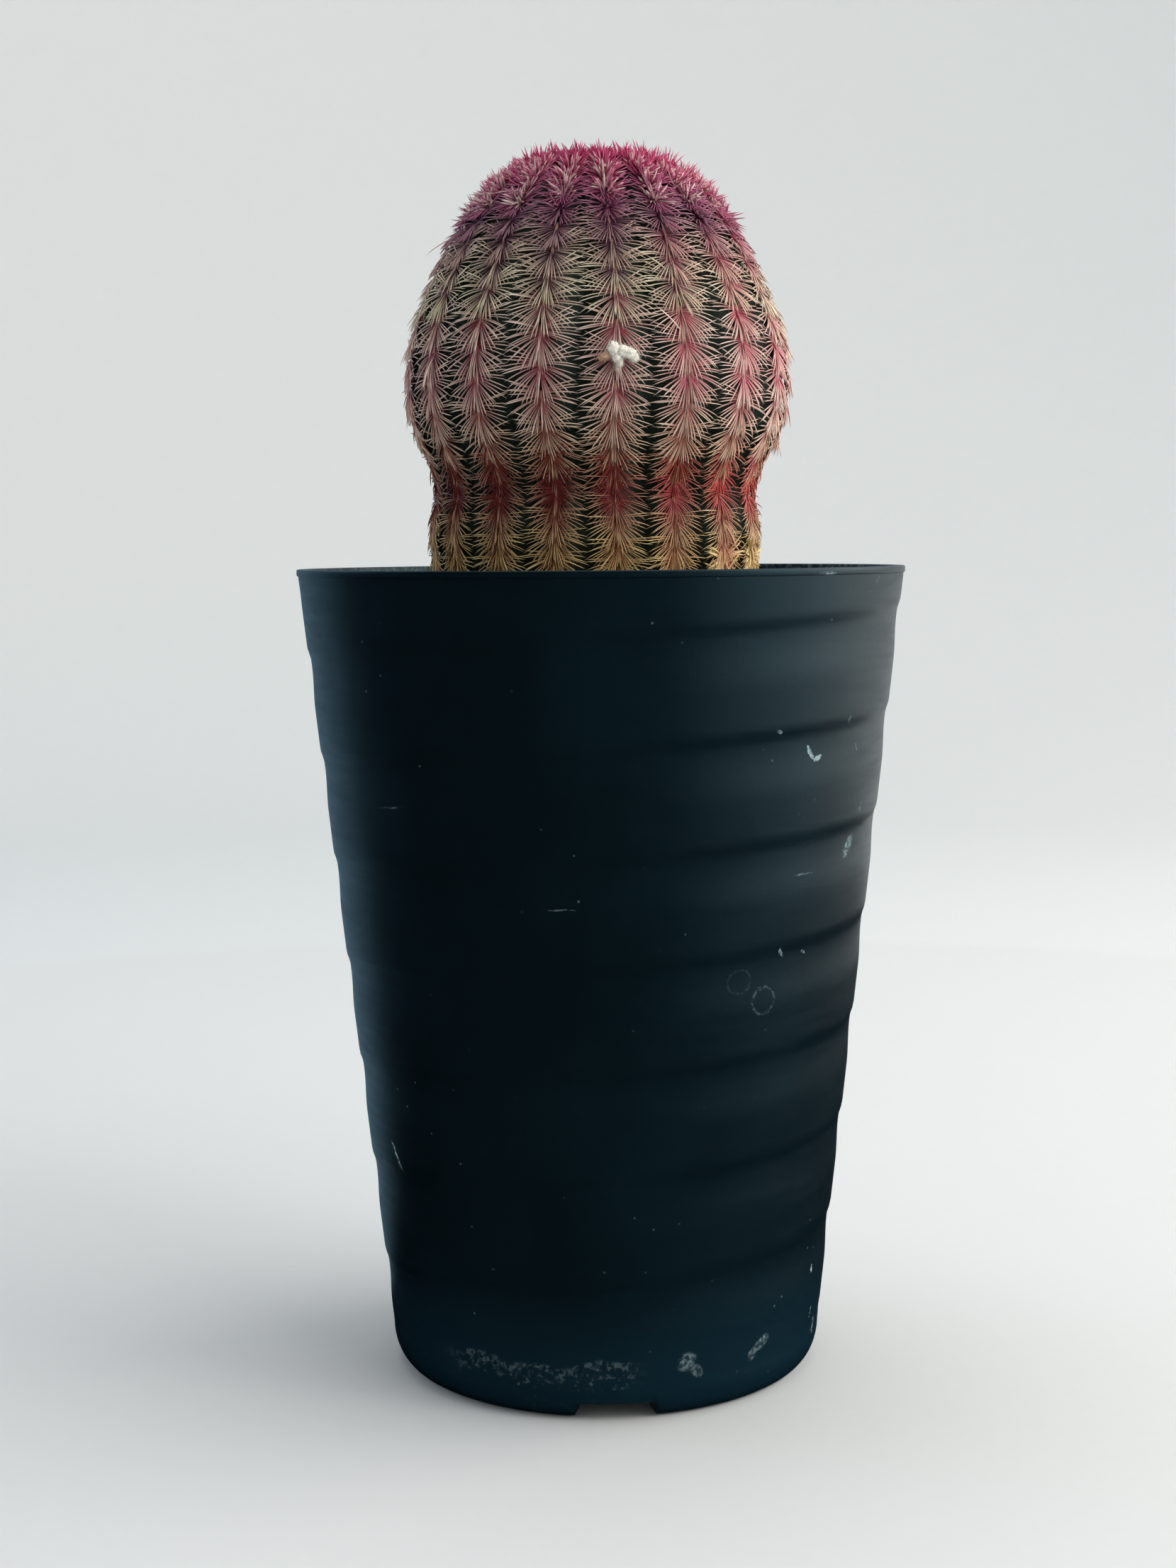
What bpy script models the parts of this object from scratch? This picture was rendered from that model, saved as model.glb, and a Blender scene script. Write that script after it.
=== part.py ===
"""Potted hedgehog cactus: a ribbed stem with combs of spines, standing in a deep ripple-walled nursery pot.

Lengths are in metres and +Z is up. The origin is the middle of the pot's foot, on the ground.
The front of the plant faces -Y, and angles are counted anticlockwise from +X, seen from above.
"""

import math
from bisect import bisect_right
from functools import cache
from itertools import accumulate

import bmesh
import bpy
from mathutils import Vector

MM = 0.001
SOFT_GAP = 0.35 * MM
FACET_GAP = 0.7 * MM
SMOOTH_ANGLE = math.radians(35)

# Pot: a deep nursery pot, 100 mm across the rim.
POT_HEIGHT = 133 * MM
RIM_RADIUS = 50 * MM
RIM_PROUD = 0.25 * MM
RIM_BAND = 1.1 * MM
RIM_EDGE_ROUNDING = 0.25 * MM
WALL = 1.1 * MM
WALL_FOOT_RADIUS = 36 * MM
CORNER_HEIGHT = 6.3 * MM
FOOT_RADIUS = 32 * MM
FOOT_RING_WIDTH = 3.5 * MM
FLOOR_LIFT = 2.2 * MM
FLOOR = 1.2 * MM
POT_SIDES = 40
WALL_ROWS = 30
CORNER_ROWS = 4

# Ripple: one groove that winds round the wall like a screw thread.
RIPPLE_PITCH = 16.8 * MM
RIPPLE_DEPTH = 0.38 * MM
RIPPLE_STEP = 1.4 * MM
RIPPLE_FLAT = 3.4 * MM
RIPPLE_RUN_OUT = 9.0 * MM
RIPPLE_HEIGHT_AT_RIGHT = 111.7 * MM
RIPPLE_FADE = 7 * MM

# Foot notches and drain holes.
NOTCH_COUNT = 4
NOTCH_WIDTH = 12 * MM
NOTCH_HEIGHT = 2.0 * MM
NOTCH_ANGLE = math.radians(-87.3)
NOTCH_CUT_INWARDS = 7 * MM
NOTCH_CUT_OUTWARDS = 5 * MM
DRAIN_RADIUS = 4 * MM
DRAIN_CIRCLE = 18 * MM
DRAIN_SIDES = 20
DRAIN_CUT_LOW = -1.2 * MM
DRAIN_CUT_HIGH = 5.8 * MM

# Soil: fills the pot to a little below the rim.
SOIL_TOP = POT_HEIGHT - 9.5 * MM
SOIL_GRIT = 0.45 * MM
GRIT_WAVES = ((5, 900), (11, -1700))
SOIL_RINGS = 5
STEM_HOLE_DEPTH = 12 * MM

# Stem: the outline of the rib crests, as height above the ground and radius.
STEM_OUTLINE = (
    (126.0 * MM, 24.4 * MM),
    (133.0 * MM, 25.6 * MM),
    (139.5 * MM, 26.0 * MM),
    (145.5 * MM, 25.5 * MM),
    (150.5 * MM, 26.9 * MM),
    (156.5 * MM, 29.5 * MM),
    (163.0 * MM, 30.3 * MM),
    (170.5 * MM, 29.3 * MM),
    (178.0 * MM, 26.5 * MM),
    (186.0 * MM, 22.3 * MM),
    (192.5 * MM, 16.8 * MM),
    (196.3 * MM, 10.6 * MM),
    (197.3 * MM, 6.4 * MM),
    (197.2 * MM, 3.2 * MM),
)
OUTLINE_STEPS = 14
WIDEST_RADIUS = 30.3 * MM
CROWN_HEIGHT = 196.6 * MM
RIBS = 17
FRONT_RIB_ANGLE = math.radians(-84.7)
RIB_DEPTH = 2.7 * MM
RIB_FULL_RADIUS = 16 * MM
NECK_SHIFT = -0.95 * MM
GLOBE_SHIFT = -0.3 * MM
NECK_TOP = 143 * MM
GLOBE_START = 158 * MM
BASE_RADIUS = 23.6 * MM
ROOT_RINGS = ((0.96, 3.5 * MM), (0.72, 8.5 * MM), (0.34, 11.4 * MM))

# Areoles: the cushions along each crest that the spines stand on.
AREOLE_SPACING = 6.1 * MM
AREOLE_HALF_WIDTH = 0.62 * MM
AREOLE_HALF_HEIGHT = 1.2 * MM
AREOLE_RISE = 0.45 * MM
AREOLE_WIDTH_SHARE = 0.45
AREOLE_HEIGHT_SHARE = 0.67
STAGGER = 0.22
CROWN_RADIUS = 11 * MM
SPINE_LENGTH = 5.6 * MM
CROWN_SPINE_LENGTH = 4.6 * MM
SPINE_LEAN = math.radians(17)
SPINE_LAYERING = 0.2
CROWN_TURN_EASE = 0.45
CROWN_LEAN = math.radians(25)
SPINE_LEAN_STEP = math.radians(2)
RIB_SHARE = 0.94
SIDE_SPINE_ANGLES = tuple(math.radians(a) for a in (47, 15, -18, -52))
CROWN_SPINE_ANGLES = tuple(math.radians(a) for a in (38, -38))

# Wool tuft on the front rib.
WOOL_HEIGHT = 164.6 * MM
WOOL_HALF_WIDTH = 3.6 * MM
WOOL_HALF_HEIGHT = 2.4 * MM
WOOL_HALF_DEPTH = 2.2 * MM
WOOL_BACK = 0.35
WOOL_LOBES = ((-0.15, 0.75, 0.30), (0.80, -0.05, 0.24), (0.10, -0.95, 0.26))
WOOL_LOBE_SPREAD = 0.5
WOOL_LOBE_DIP = 0.25
WOOL_LARGEST_SWELL = 1.12
WOOL_SMOOTH_ANGLE = math.radians(60)
WOOL_CLEARANCE = (1.15, 1.3, 1.15)
WOOL_TEST_STEPS = 12

COLOURS = {
    "pot": ((0.018, 0.040, 0.050), 0.45),
    "soil": ((0.115, 0.085, 0.060), 0.95),
    "cactus": ((0.420, 0.245, 0.205), 0.60),
    "wool_tuft": ((0.800, 0.770, 0.680), 0.95),
}


def clear_scene():
    for obj in list(bpy.data.objects):
        bpy.data.objects.remove(obj, do_unlink=True)


def material_for(name):
    colour, roughness = COLOURS[name]
    material = bpy.data.materials.new(name)
    material.use_nodes = True
    shader = material.node_tree.nodes["Principled BSDF"]
    shader.inputs["Base Color"].default_value = (*colour, 1)
    shader.inputs["Roughness"].default_value = roughness
    shader.inputs["Metallic"].default_value = 0
    return material


def add_object(name, bm, smooth_angle=None):
    """Turns a bmesh into a named object, with smooth faces up to the given angle."""
    bmesh.ops.recalc_face_normals(bm, faces=bm.faces[:])
    mesh = bpy.data.meshes.new(name)
    bm.to_mesh(mesh)
    bm.free()
    if smooth_angle is not None:
        mesh.shade_smooth()
        mesh.set_sharp_from_angle(angle=smooth_angle)
    obj = bpy.data.objects.new(name, mesh)
    bpy.context.scene.collection.objects.link(obj)
    if name in COLOURS:
        mesh.materials.append(material_for(name))
    return obj


def smooth_step(low, high, value):
    share = min(1.0, max(0.0, (value - low) / (high - low)))
    return share * share * (3 - 2 * share)


def polar(radius, angle, height):
    return Vector((radius * math.cos(angle), radius * math.sin(angle), height))


def ring_of(bm, radius_at, height_at, sides, shift=0.0):
    """A ring of vertices whose radius and height may change with the angle."""
    angles = [math.tau * i / sides for i in range(sides)]
    aside = Vector((shift, 0, 0))
    return [bm.verts.new(polar(radius_at(a), a, height_at(a)) + aside) for a in angles]


def bridge(bm, lower, upper):
    count = len(lower)
    for i in range(count):
        j = (i + 1) % count
        bm.faces.new((lower[i], lower[j], upper[j], upper[i]))


def close_with_point(bm, ring, height, shift=0.0):
    middle = bm.verts.new((shift, 0, height))
    count = len(ring)
    for i in range(count):
        bm.faces.new((ring[i], ring[(i + 1) % count], middle))


def turned_solid(bm, rings, first_height, last_height, last_shift=0.0):
    """Joins the rings in order and closes both ends with a point on the axis."""
    for lower, upper in zip(rings, rings[1:]):
        bridge(bm, lower, upper)
    close_with_point(bm, rings[0], first_height)
    close_with_point(bm, rings[-1], last_height, last_shift)


def wall_radius(height):
    """The wall's straight taper, from the rounded bottom edge to the rim band."""
    share = (height - CORNER_HEIGHT) / (POT_HEIGHT - RIM_BAND - CORNER_HEIGHT)
    return WALL_FOOT_RADIUS + share * (RIM_RADIUS - RIM_PROUD - WALL_FOOT_RADIUS)


def ripple(angle, height):
    """How deep the winding groove is here: a crisp step at its top edge, then a slow run out below."""
    turns = (height - RIPPLE_HEIGHT_AT_RIGHT) / RIPPLE_PITCH - angle / math.tau
    below_step = (math.ceil(turns) - turns) * RIPPLE_PITCH
    groove = smooth_step(0, RIPPLE_STEP, below_step)
    groove *= 1 - smooth_step(RIPPLE_FLAT, RIPPLE_RUN_OUT, below_step)
    top = POT_HEIGHT - RIM_BAND
    fade = smooth_step(CORNER_HEIGHT, CORNER_HEIGHT + RIPPLE_FADE, height)
    fade *= 1 - smooth_step(top - RIPPLE_FADE, top, height)
    return RIPPLE_DEPTH * groove * fade


def plain_ring(bm, radius, height):
    return ring_of(bm, lambda a: radius, lambda a: height, POT_SIDES)


def rippled_ring(bm, height):
    return ring_of(bm, lambda a: wall_radius(height) - ripple(a, height), lambda a: height, POT_SIDES)


def foot_rings(bm):
    inner = FOOT_RADIUS - FOOT_RING_WIDTH
    rings = [plain_ring(bm, inner, FLOOR_LIFT), plain_ring(bm, inner, 0), plain_ring(bm, FOOT_RADIUS, 0)]
    for i in range(1, CORNER_ROWS + 1):
        turn = math.pi / 2 * i / CORNER_ROWS
        radius = FOOT_RADIUS + (WALL_FOOT_RADIUS - FOOT_RADIUS) * math.sin(turn)
        rings.append(plain_ring(bm, radius, CORNER_HEIGHT * (1 - math.cos(turn))))
    return rings


def outer_wall_rings(bm):
    top = POT_HEIGHT - RIM_BAND
    step = (top - CORNER_HEIGHT) / WALL_ROWS
    return [rippled_ring(bm, CORNER_HEIGHT + step * i) for i in range(1, WALL_ROWS + 1)]


def rim_rings(bm):
    inner = RIM_RADIUS - RIM_PROUD - WALL
    bottom = POT_HEIGHT - RIM_BAND
    return [
        plain_ring(bm, RIM_RADIUS, bottom + RIM_PROUD / 2),
        plain_ring(bm, RIM_RADIUS, POT_HEIGHT - RIM_EDGE_ROUNDING),
        plain_ring(bm, RIM_RADIUS - RIM_EDGE_ROUNDING, POT_HEIGHT),
        plain_ring(bm, inner, POT_HEIGHT),
    ]


def inner_rings(bm):
    floor_top = FLOOR_LIFT + FLOOR
    corner_top = CORNER_HEIGHT + WALL
    return [
        plain_ring(bm, wall_radius(corner_top) - WALL, corner_top),
        plain_ring(bm, FOOT_RADIUS, floor_top),
    ]


def drainage_cutter():
    """The foot notches and the drain holes, as one set of cutting blocks."""
    bm = bmesh.new()
    for i in range(NOTCH_COUNT):
        angle = NOTCH_ANGLE + math.tau * i / NOTCH_COUNT
        out = polar(1, angle, 0)
        side = Vector((-out.y, out.x, 0))
        block = bmesh.ops.create_cube(bm, size=1)["verts"]
        for vert in block:
            across, along, up = vert.co
            reach = FOOT_RADIUS + (NOTCH_CUT_OUTWARDS if along > 0 else -NOTCH_CUT_INWARDS)
            vert.co = out * reach + side * across * NOTCH_WIDTH
            vert.co.z = NOTCH_HEIGHT * (2 * up)
    holes = [Vector()]
    for i in range(NOTCH_COUNT):
        holes.append(polar(DRAIN_CIRCLE, NOTCH_ANGLE + math.tau * (i + 0.5) / NOTCH_COUNT, 0))
    for middle in holes:
        circle = [middle + polar(DRAIN_RADIUS, math.tau * i / DRAIN_SIDES, 0) for i in range(DRAIN_SIDES)]
        bottom = [bm.verts.new(point + Vector((0, 0, DRAIN_CUT_LOW))) for point in circle]
        top = [bm.verts.new(point + Vector((0, 0, DRAIN_CUT_HIGH))) for point in circle]
        bridge(bm, bottom, top)
        bm.faces.new(bottom)
        bm.faces.new(top)
    cutter = add_object("drainage_cutter", bm)
    cutter.hide_render = True
    cutter.display_type = "WIRE"
    return cutter


def make_pot():
    bm = bmesh.new()
    rings = foot_rings(bm) + outer_wall_rings(bm) + rim_rings(bm) + inner_rings(bm)
    turned_solid(bm, rings, FLOOR_LIFT, FLOOR_LIFT + FLOOR)
    pot = add_object("pot", bm, SMOOTH_ANGLE)
    cut = pot.modifiers.new("foot notches and drain holes", "BOOLEAN")
    cut.operation = "DIFFERENCE"
    cut.object = drainage_cutter()


def grit(angle, radius):
    """A low uneven relief for the loose surface of the potting mix."""
    waves = [math.sin(around * angle + outwards * radius) for around, outwards in GRIT_WAVES]
    return SOIL_GRIT * sum(waves) / len(waves)


def soil_ring(bm, radius, shift):
    return ring_of(bm, lambda a: radius, lambda a: SOIL_TOP + grit(a, radius), POT_SIDES, shift)


def make_soil():
    bm = bmesh.new()
    floor_top = FLOOR_LIFT + FLOOR + SOFT_GAP
    hole_radius = BASE_RADIUS + FACET_GAP
    corner_top = CORNER_HEIGHT + WALL + SOFT_GAP
    edge_radius = wall_radius(SOIL_TOP) - WALL - SOFT_GAP
    rings = [
        plain_ring(bm, FOOT_RADIUS - FACET_GAP, floor_top),
        plain_ring(bm, wall_radius(corner_top) - WALL - FACET_GAP, corner_top),
    ]
    for i in range(SOIL_RINGS):
        share = i / (SOIL_RINGS - 1)
        radius = edge_radius + (hole_radius - edge_radius) * share
        rings.append(soil_ring(bm, radius, NECK_SHIFT * share))
    bottom = SOIL_TOP - STEM_HOLE_DEPTH
    rings.append(ring_of(bm, lambda a: hole_radius, lambda a: bottom, POT_SIDES, NECK_SHIFT))
    turned_solid(bm, rings, floor_top, bottom, NECK_SHIFT)
    add_object("soil", bm, SMOOTH_ANGLE)


def smooth_outline(points):
    """A smooth curve through the outline's points, as a list of (radius, height)."""
    ends = [points[0]] + list(points) + [points[-1]]
    curve = []
    for before, start, end, after in zip(ends, ends[1:], ends[2:], ends[3:]):
        for i in range(OUTLINE_STEPS):
            t = i / OUTLINE_STEPS
            blend = []
            for a, b, c, d in zip(before, start, end, after):
                linear = c - a
                square = 2 * a - 5 * b + 4 * c - d
                cube = 3 * b - 3 * c + d - a
                blend.append((2 * b + t * linear + t * t * square + t * t * t * cube) / 2)
            curve.append(Vector((blend[1], blend[0])))
    curve.append(Vector((points[-1][1], points[-1][0])))
    return curve


CREST = smooth_outline(STEM_OUTLINE)
CREST_RUNS = [0.0, *accumulate((end - start).length for start, end in zip(CREST, CREST[1:]))]


def crest_at(distance):
    """The crest's point and outward normal at a distance along it, both as (radius, height)."""
    i = min(bisect_right(CREST_RUNS, distance), len(CREST) - 1) - 1
    along = (CREST[i + 1] - CREST[i]).normalized()
    return CREST[i] + along * (distance - CREST_RUNS[i]), Vector((along.y, -along.x))


def axis_shift(height):
    """The plant stands a little to the left of the pot's middle, and more so at its neck."""
    return NECK_SHIFT + (GLOBE_SHIFT - NECK_SHIFT) * smooth_step(NECK_TOP, GLOBE_START, height)


def stem_point(angle, distance, sunk):
    """A point of the stem's skin, sunk below the crest along the surface's normal."""
    at, normal = crest_at(distance)
    at = at - normal * sunk
    point = polar(at.x, angle, at.y)
    point.x += axis_shift(at.y)
    return point


def rib_depth_at(radius):
    return RIB_DEPTH * min(1.0, radius / RIB_FULL_RADIUS)


def areole_rows():
    """The distances along the crest where one areole's stretch ends and the next begins."""
    rows = [0.0]
    length = CREST_RUNS[-1]
    while rows[-1] < length:
        radius = crest_at(rows[-1])[0].x
        rows.append(rows[-1] + AREOLE_SPACING * math.sqrt(radius / WIDEST_RADIUS))
    stretch = length / rows[-1]
    return [row * stretch for row in rows]


def local_frame(angle, distance):
    """The directions across the rib, up along its crest and straight out of it."""
    _, normal = crest_at(distance)
    out = polar(normal.x, angle, normal.y)
    across = Vector((-math.sin(angle), math.cos(angle), 0))
    return across, out.cross(across), out


def wool_share(point):
    """Under 1 inside the wool tuft and growing outwards, with the room that it keeps clear."""
    middle, across, up, out = wool_frame()
    halves = (WOOL_HALF_WIDTH, WOOL_HALF_HEIGHT, WOOL_HALF_DEPTH)
    shares = []
    for direction, half, clearance in zip((across, up, out), halves, WOOL_CLEARANCE):
        shares.append((point - middle).dot(direction) / (half * clearance + SOFT_GAP))
    return Vector(shares).length


def meets_wool(root, tip):
    steps = range(WOOL_TEST_STEPS + 1)
    return any(wool_share(root.lerp(tip, i / WOOL_TEST_STEPS)) < 1 for i in steps)


def rib_share(point, angle):
    """How far a point is round from its rib's crest, where 1 is the middle of the valley."""
    aside = math.atan2(point.y, point.x - axis_shift(point.z)) - angle
    aside = (aside + math.pi) % math.tau - math.pi
    return abs(aside) / (math.pi / RIBS)


def spine_tip(root, frame, angle, radius, turn, side):
    """The tip of a spine that leans sideways, and stands up as steeply as its own rib's width asks."""
    across, up, out = frame
    crown = 1 - smooth_step(CROWN_RADIUS, 2 * CROWN_RADIUS, radius)
    full = SPINE_LENGTH * math.sqrt(radius / WIDEST_RADIUS)
    length = full + (CROWN_SPINE_LENGTH - full) * crown
    turn *= 1 - CROWN_TURN_EASE * crown
    flat = across * side * math.cos(turn) + up * math.sin(turn)
    lean = SPINE_LEAN - SPINE_LAYERING * turn + CROWN_LEAN * crown
    while lean < math.pi / 2:
        tip = root + (flat * math.cos(lean) + out * math.sin(lean)) * length
        if rib_share(tip, angle) < RIB_SHARE:
            return tip
        lean += SPINE_LEAN_STEP
    return root + out * length


def zip_loops(bm, inner, outer):
    """Fills the band between two loops that are listed in the same turning order."""
    i = j = 0
    while i < len(inner) or j < len(outer):
        a, b = inner[i % len(inner)], outer[j % len(outer)]
        if j * len(inner) <= i * len(outer) and j < len(outer):
            bm.faces.new((a, b, outer[(j + 1) % len(outer)]))
            j += 1
        else:
            bm.faces.new((a, b, inner[(i + 1) % len(inner)]))
            i += 1


def add_areole(bm, angle, distance, size, border):
    """An areole's cushion, with a spine on each side edge, joined to its stretch of the rib."""
    at, _ = crest_at(distance)
    frame = local_frame(angle, distance)
    across, up, out = frame
    middle = stem_point(angle, distance, 0)
    turns = SIDE_SPINE_ANGLES if at.x > CROWN_RADIUS else CROWN_SPINE_ANGLES
    edges = 2 * len(turns) + 2
    half_width, half_height = AREOLE_HALF_WIDTH * size, AREOLE_HALF_HEIGHT * size
    loop = []
    for i in range(edges):
        turn = math.tau * (i + 0.5) / edges - math.pi / 2
        offset = across * half_width * math.cos(turn) + up * half_height * math.sin(turn)
        loop.append(bm.verts.new(middle + offset + out * AREOLE_RISE * size / 2))
    top = bm.verts.new(middle + out * AREOLE_RISE * size)
    for i in range(edges):
        a, b = loop[i], loop[(i + 1) % edges]
        side_edge = i not in (edges // 2 - 1, edges - 1)
        root = (a.co + b.co + top.co) / 3
        if side_edge:
            on_right = i < edges // 2
            rank = len(turns) - 1 - i if on_right else i - edges // 2
            tip = spine_tip(root, frame, angle, at.x, turns[rank], 1 if on_right else -1)
        if side_edge and not meets_wool(root, tip):
            apex = bm.verts.new(tip)
            for first, second in ((a, b), (b, top), (top, a)):
                bm.faces.new((first, second, apex))
        else:
            bm.faces.new((a, b, top))
    zip_loops(bm, loop, border)


def crest_and_valley_rows(bm, rows):
    """For each row, the vertices on every rib's crest and in every valley after it."""
    crests, valleys = [], []
    for k, row in enumerate(rows):
        radius = crest_at(row)[0].x
        at_end = k in (0, len(rows) - 1)
        crest_row, valley_row = [], []
        for rib in range(RIBS):
            angle = FRONT_RIB_ANGLE + math.tau * rib / RIBS
            shift = 0 if at_end else (rib % 2 - 0.5) * STAGGER * (rows[k + 1] - row)
            crest_row.append(bm.verts.new(stem_point(angle, row + shift, 0)))
            valley_angle = angle + math.pi / RIBS
            valley_row.append(bm.verts.new(stem_point(valley_angle, row, rib_depth_at(radius))))
        crests.append(crest_row)
        valleys.append(valley_row)
    return crests, valleys


def close_crown(bm, crest_row, valley_row):
    """The small cap in the middle of the crown, with an upright bristle on every rib."""
    ring = [vert for pair in zip(crest_row, valley_row) for vert in pair]
    middle = bm.verts.new((axis_shift(CROWN_HEIGHT), 0, CROWN_HEIGHT))
    for i, start in enumerate(ring):
        corners = (start, ring[(i + 1) % len(ring)], middle)
        if i % 2:
            bm.faces.new(corners)
            continue
        root = sum((corner.co for corner in corners), Vector()) / 3
        apex = bm.verts.new(root + Vector((0, 0, CROWN_SPINE_LENGTH)))
        for first, second in zip(corners, corners[1:] + corners[:1]):
            bm.faces.new((first, second, apex))


def close_base(bm, crest_row, valley_row):
    """The part of the stem below the soil: round, and narrowing to its rooting end."""
    upper = [vert for pair in zip(crest_row, valley_row) for vert in pair]
    shift = axis_shift(0)
    for share, depth in ROOT_RINGS:
        lower = []
        for i in range(2 * RIBS):
            angle = FRONT_RIB_ANGLE + math.pi * i / RIBS
            lower.append(bm.verts.new(polar(BASE_RADIUS * share, angle, SOIL_TOP - depth)))
            lower[-1].co.x += shift
        bridge(bm, lower, upper)
        upper = lower
    close_with_point(bm, upper, SOIL_TOP - STEM_HOLE_DEPTH + SOFT_GAP, shift)


def make_cactus():
    bm = bmesh.new()
    rows = areole_rows()
    crests, valleys = crest_and_valley_rows(bm, rows)
    for k in range(len(rows) - 1):
        for rib in range(RIBS):
            angle = FRONT_RIB_ANGLE + math.tau * rib / RIBS
            pitch = rows[k + 1] - rows[k]
            distance = (rows[k] + rows[k + 1]) / 2 + (rib % 2 - 0.5) * STAGGER * pitch
            half_rib = crest_at(distance)[0].x * math.pi / RIBS
            size_across = half_rib * AREOLE_WIDTH_SHARE / AREOLE_HALF_WIDTH
            size_along = pitch / 2 * AREOLE_HEIGHT_SHARE / AREOLE_HALF_HEIGHT
            size = min(1.0, size_across, size_along)
            border = [
                crests[k][rib],
                valleys[k][rib],
                valleys[k + 1][rib],
                crests[k + 1][rib],
                valleys[k + 1][rib - 1],
                valleys[k][rib - 1],
            ]
            add_areole(bm, angle, distance, size, border)
    close_crown(bm, crests[-1], valleys[-1])
    close_base(bm, crests[0], valleys[0])
    add_object("cactus", bm)


@cache
def wool_frame():
    """The middle of the wool tuft and its directions across, up and out."""
    distance = next(run for run, point in zip(CREST_RUNS, CREST) if point.y >= WOOL_HEIGHT)
    across, up, out = local_frame(FRONT_RIB_ANGLE, distance)
    clear = AREOLE_RISE + WOOL_HALF_DEPTH * WOOL_BACK + SOFT_GAP
    return stem_point(FRONT_RIB_ANGLE, distance, -clear), across, up, out


def make_wool_tuft():
    """A soft lump with a few rounded lobes."""
    bm = bmesh.new()
    bmesh.ops.create_icosphere(bm, subdivisions=3, radius=1)
    middle, across, up, out = wool_frame()
    for vert in bm.verts:
        x, y, z = vert.co.normalized()
        swell = 1 - WOOL_LOBE_DIP * sum(lobe[2] for lobe in WOOL_LOBES)
        for toward_x, toward_y, size in WOOL_LOBES:
            away = (x - toward_x) ** 2 + (y - toward_y) ** 2
            swell += size * math.exp(-away / WOOL_LOBE_SPREAD**2)
        swell = min(swell, WOOL_LARGEST_SWELL)
        depth = z * (swell if z > 0 else WOOL_BACK)
        vert.co = middle + across * (x * WOOL_HALF_WIDTH * swell) + up * (y * WOOL_HALF_HEIGHT * swell)
        vert.co += out * (depth * WOOL_HALF_DEPTH)
    add_object("wool_tuft", bm, WOOL_SMOOTH_ANGLE)


def main():
    clear_scene()
    make_pot()
    make_soil()
    make_cactus()
    make_wool_tuft()


if __name__ == "__main__":
    main()
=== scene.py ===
"""Potted hedgehog cactus: the finished surfaces of the pot, the mix, the stem, its spines and its wool.

Lengths are metres and +Z is up. The front of the plant faces -Y, and angles are counted anticlockwise from
+X, seen from above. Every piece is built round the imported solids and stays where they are.
"""

import math
from collections import namedtuple
from functools import partial
from itertools import pairwise
from random import Random

import bmesh
import bpy
import numpy as np
from bpy.props import FloatProperty, FloatVectorProperty, IntProperty, PointerProperty
from mathutils import Matrix, Vector, noise


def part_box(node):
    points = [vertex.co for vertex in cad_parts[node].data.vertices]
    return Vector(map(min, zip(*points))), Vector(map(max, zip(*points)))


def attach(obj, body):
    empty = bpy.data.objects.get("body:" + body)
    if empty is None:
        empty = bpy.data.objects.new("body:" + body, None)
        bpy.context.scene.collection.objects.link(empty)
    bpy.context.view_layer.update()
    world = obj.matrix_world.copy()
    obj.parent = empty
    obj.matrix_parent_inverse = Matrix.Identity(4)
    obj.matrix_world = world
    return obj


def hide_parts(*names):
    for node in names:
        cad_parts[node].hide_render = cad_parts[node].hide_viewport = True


bl_info = {
    "name": "Potted hedgehog cactus",
    "version": (1, 0, 0),
    "blender": (4, 5, 0),
    "location": "3D View > Sidebar > Cactus",
    "description": "Finishes the pot, the potting mix and the plant round the packed solids",
    "category": "Object",
}

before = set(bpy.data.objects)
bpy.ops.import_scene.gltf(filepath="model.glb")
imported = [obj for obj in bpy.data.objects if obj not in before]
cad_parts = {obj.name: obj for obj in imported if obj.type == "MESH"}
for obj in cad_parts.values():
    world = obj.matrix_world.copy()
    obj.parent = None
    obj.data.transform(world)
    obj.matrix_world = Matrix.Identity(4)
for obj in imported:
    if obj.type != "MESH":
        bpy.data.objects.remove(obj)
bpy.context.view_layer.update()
POT_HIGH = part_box("pot")[1]
WOOL_LOW, WOOL_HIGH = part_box("wool_tuft")
MM = 0.001
BAKE_MAP = "OFBake"

# Pot, where its solid doesn't give the size.
RIM_PROUD = 0.25 * MM
RIM_BAND = 1.1 * MM
RIM_ROUNDING = 0.25 * MM
WALL_FOOT_RADIUS = 36 * MM
CORNER_HEIGHT = 6.3 * MM
FOOT_RADIUS = 32 * MM
FOOT_RING_WIDTH = 3.5 * MM
FOOT_ROUNDING = 0.4 * MM
FOOT_BEVEL = 0.36 * MM
FLOOR_LIFT = 2.2 * MM
FLOOR = 1.2 * MM
RIPPLE_STEP = 2.2 * MM
RIPPLE_FLAT = 3.4 * MM
RIPPLE_RUN_OUT = 10.5 * MM
RIPPLE_HEIGHT_AT_RIGHT = 111.7 * MM
RIPPLE_FADE = 7 * MM
WALL_WAVER = 0.05 * MM
WALL_WAVER_SIZE = 16 * MM
NOTCH_COUNT = 4
NOTCH_WIDTH = 12 * MM
NOTCH_HEIGHT = 2.0 * MM
NOTCH_EDGE = 0.3 * MM
NOTCH_FLARE = 1.55
NOTCH_ANGLE = math.radians(-87.3)
DRAIN_RADIUS = 4 * MM
DRAIN_CIRCLE = 18 * MM
DRAIN_SIDES = 48
POT_SIDES = 256
OUTER_ROWS = 150
INNER_ROWS = 40
CORNER_ROWS = 14
RIM_STEPS = 4
BOTTOM_STEPS = 7
SHARP_ANGLE = math.radians(40)

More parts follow.
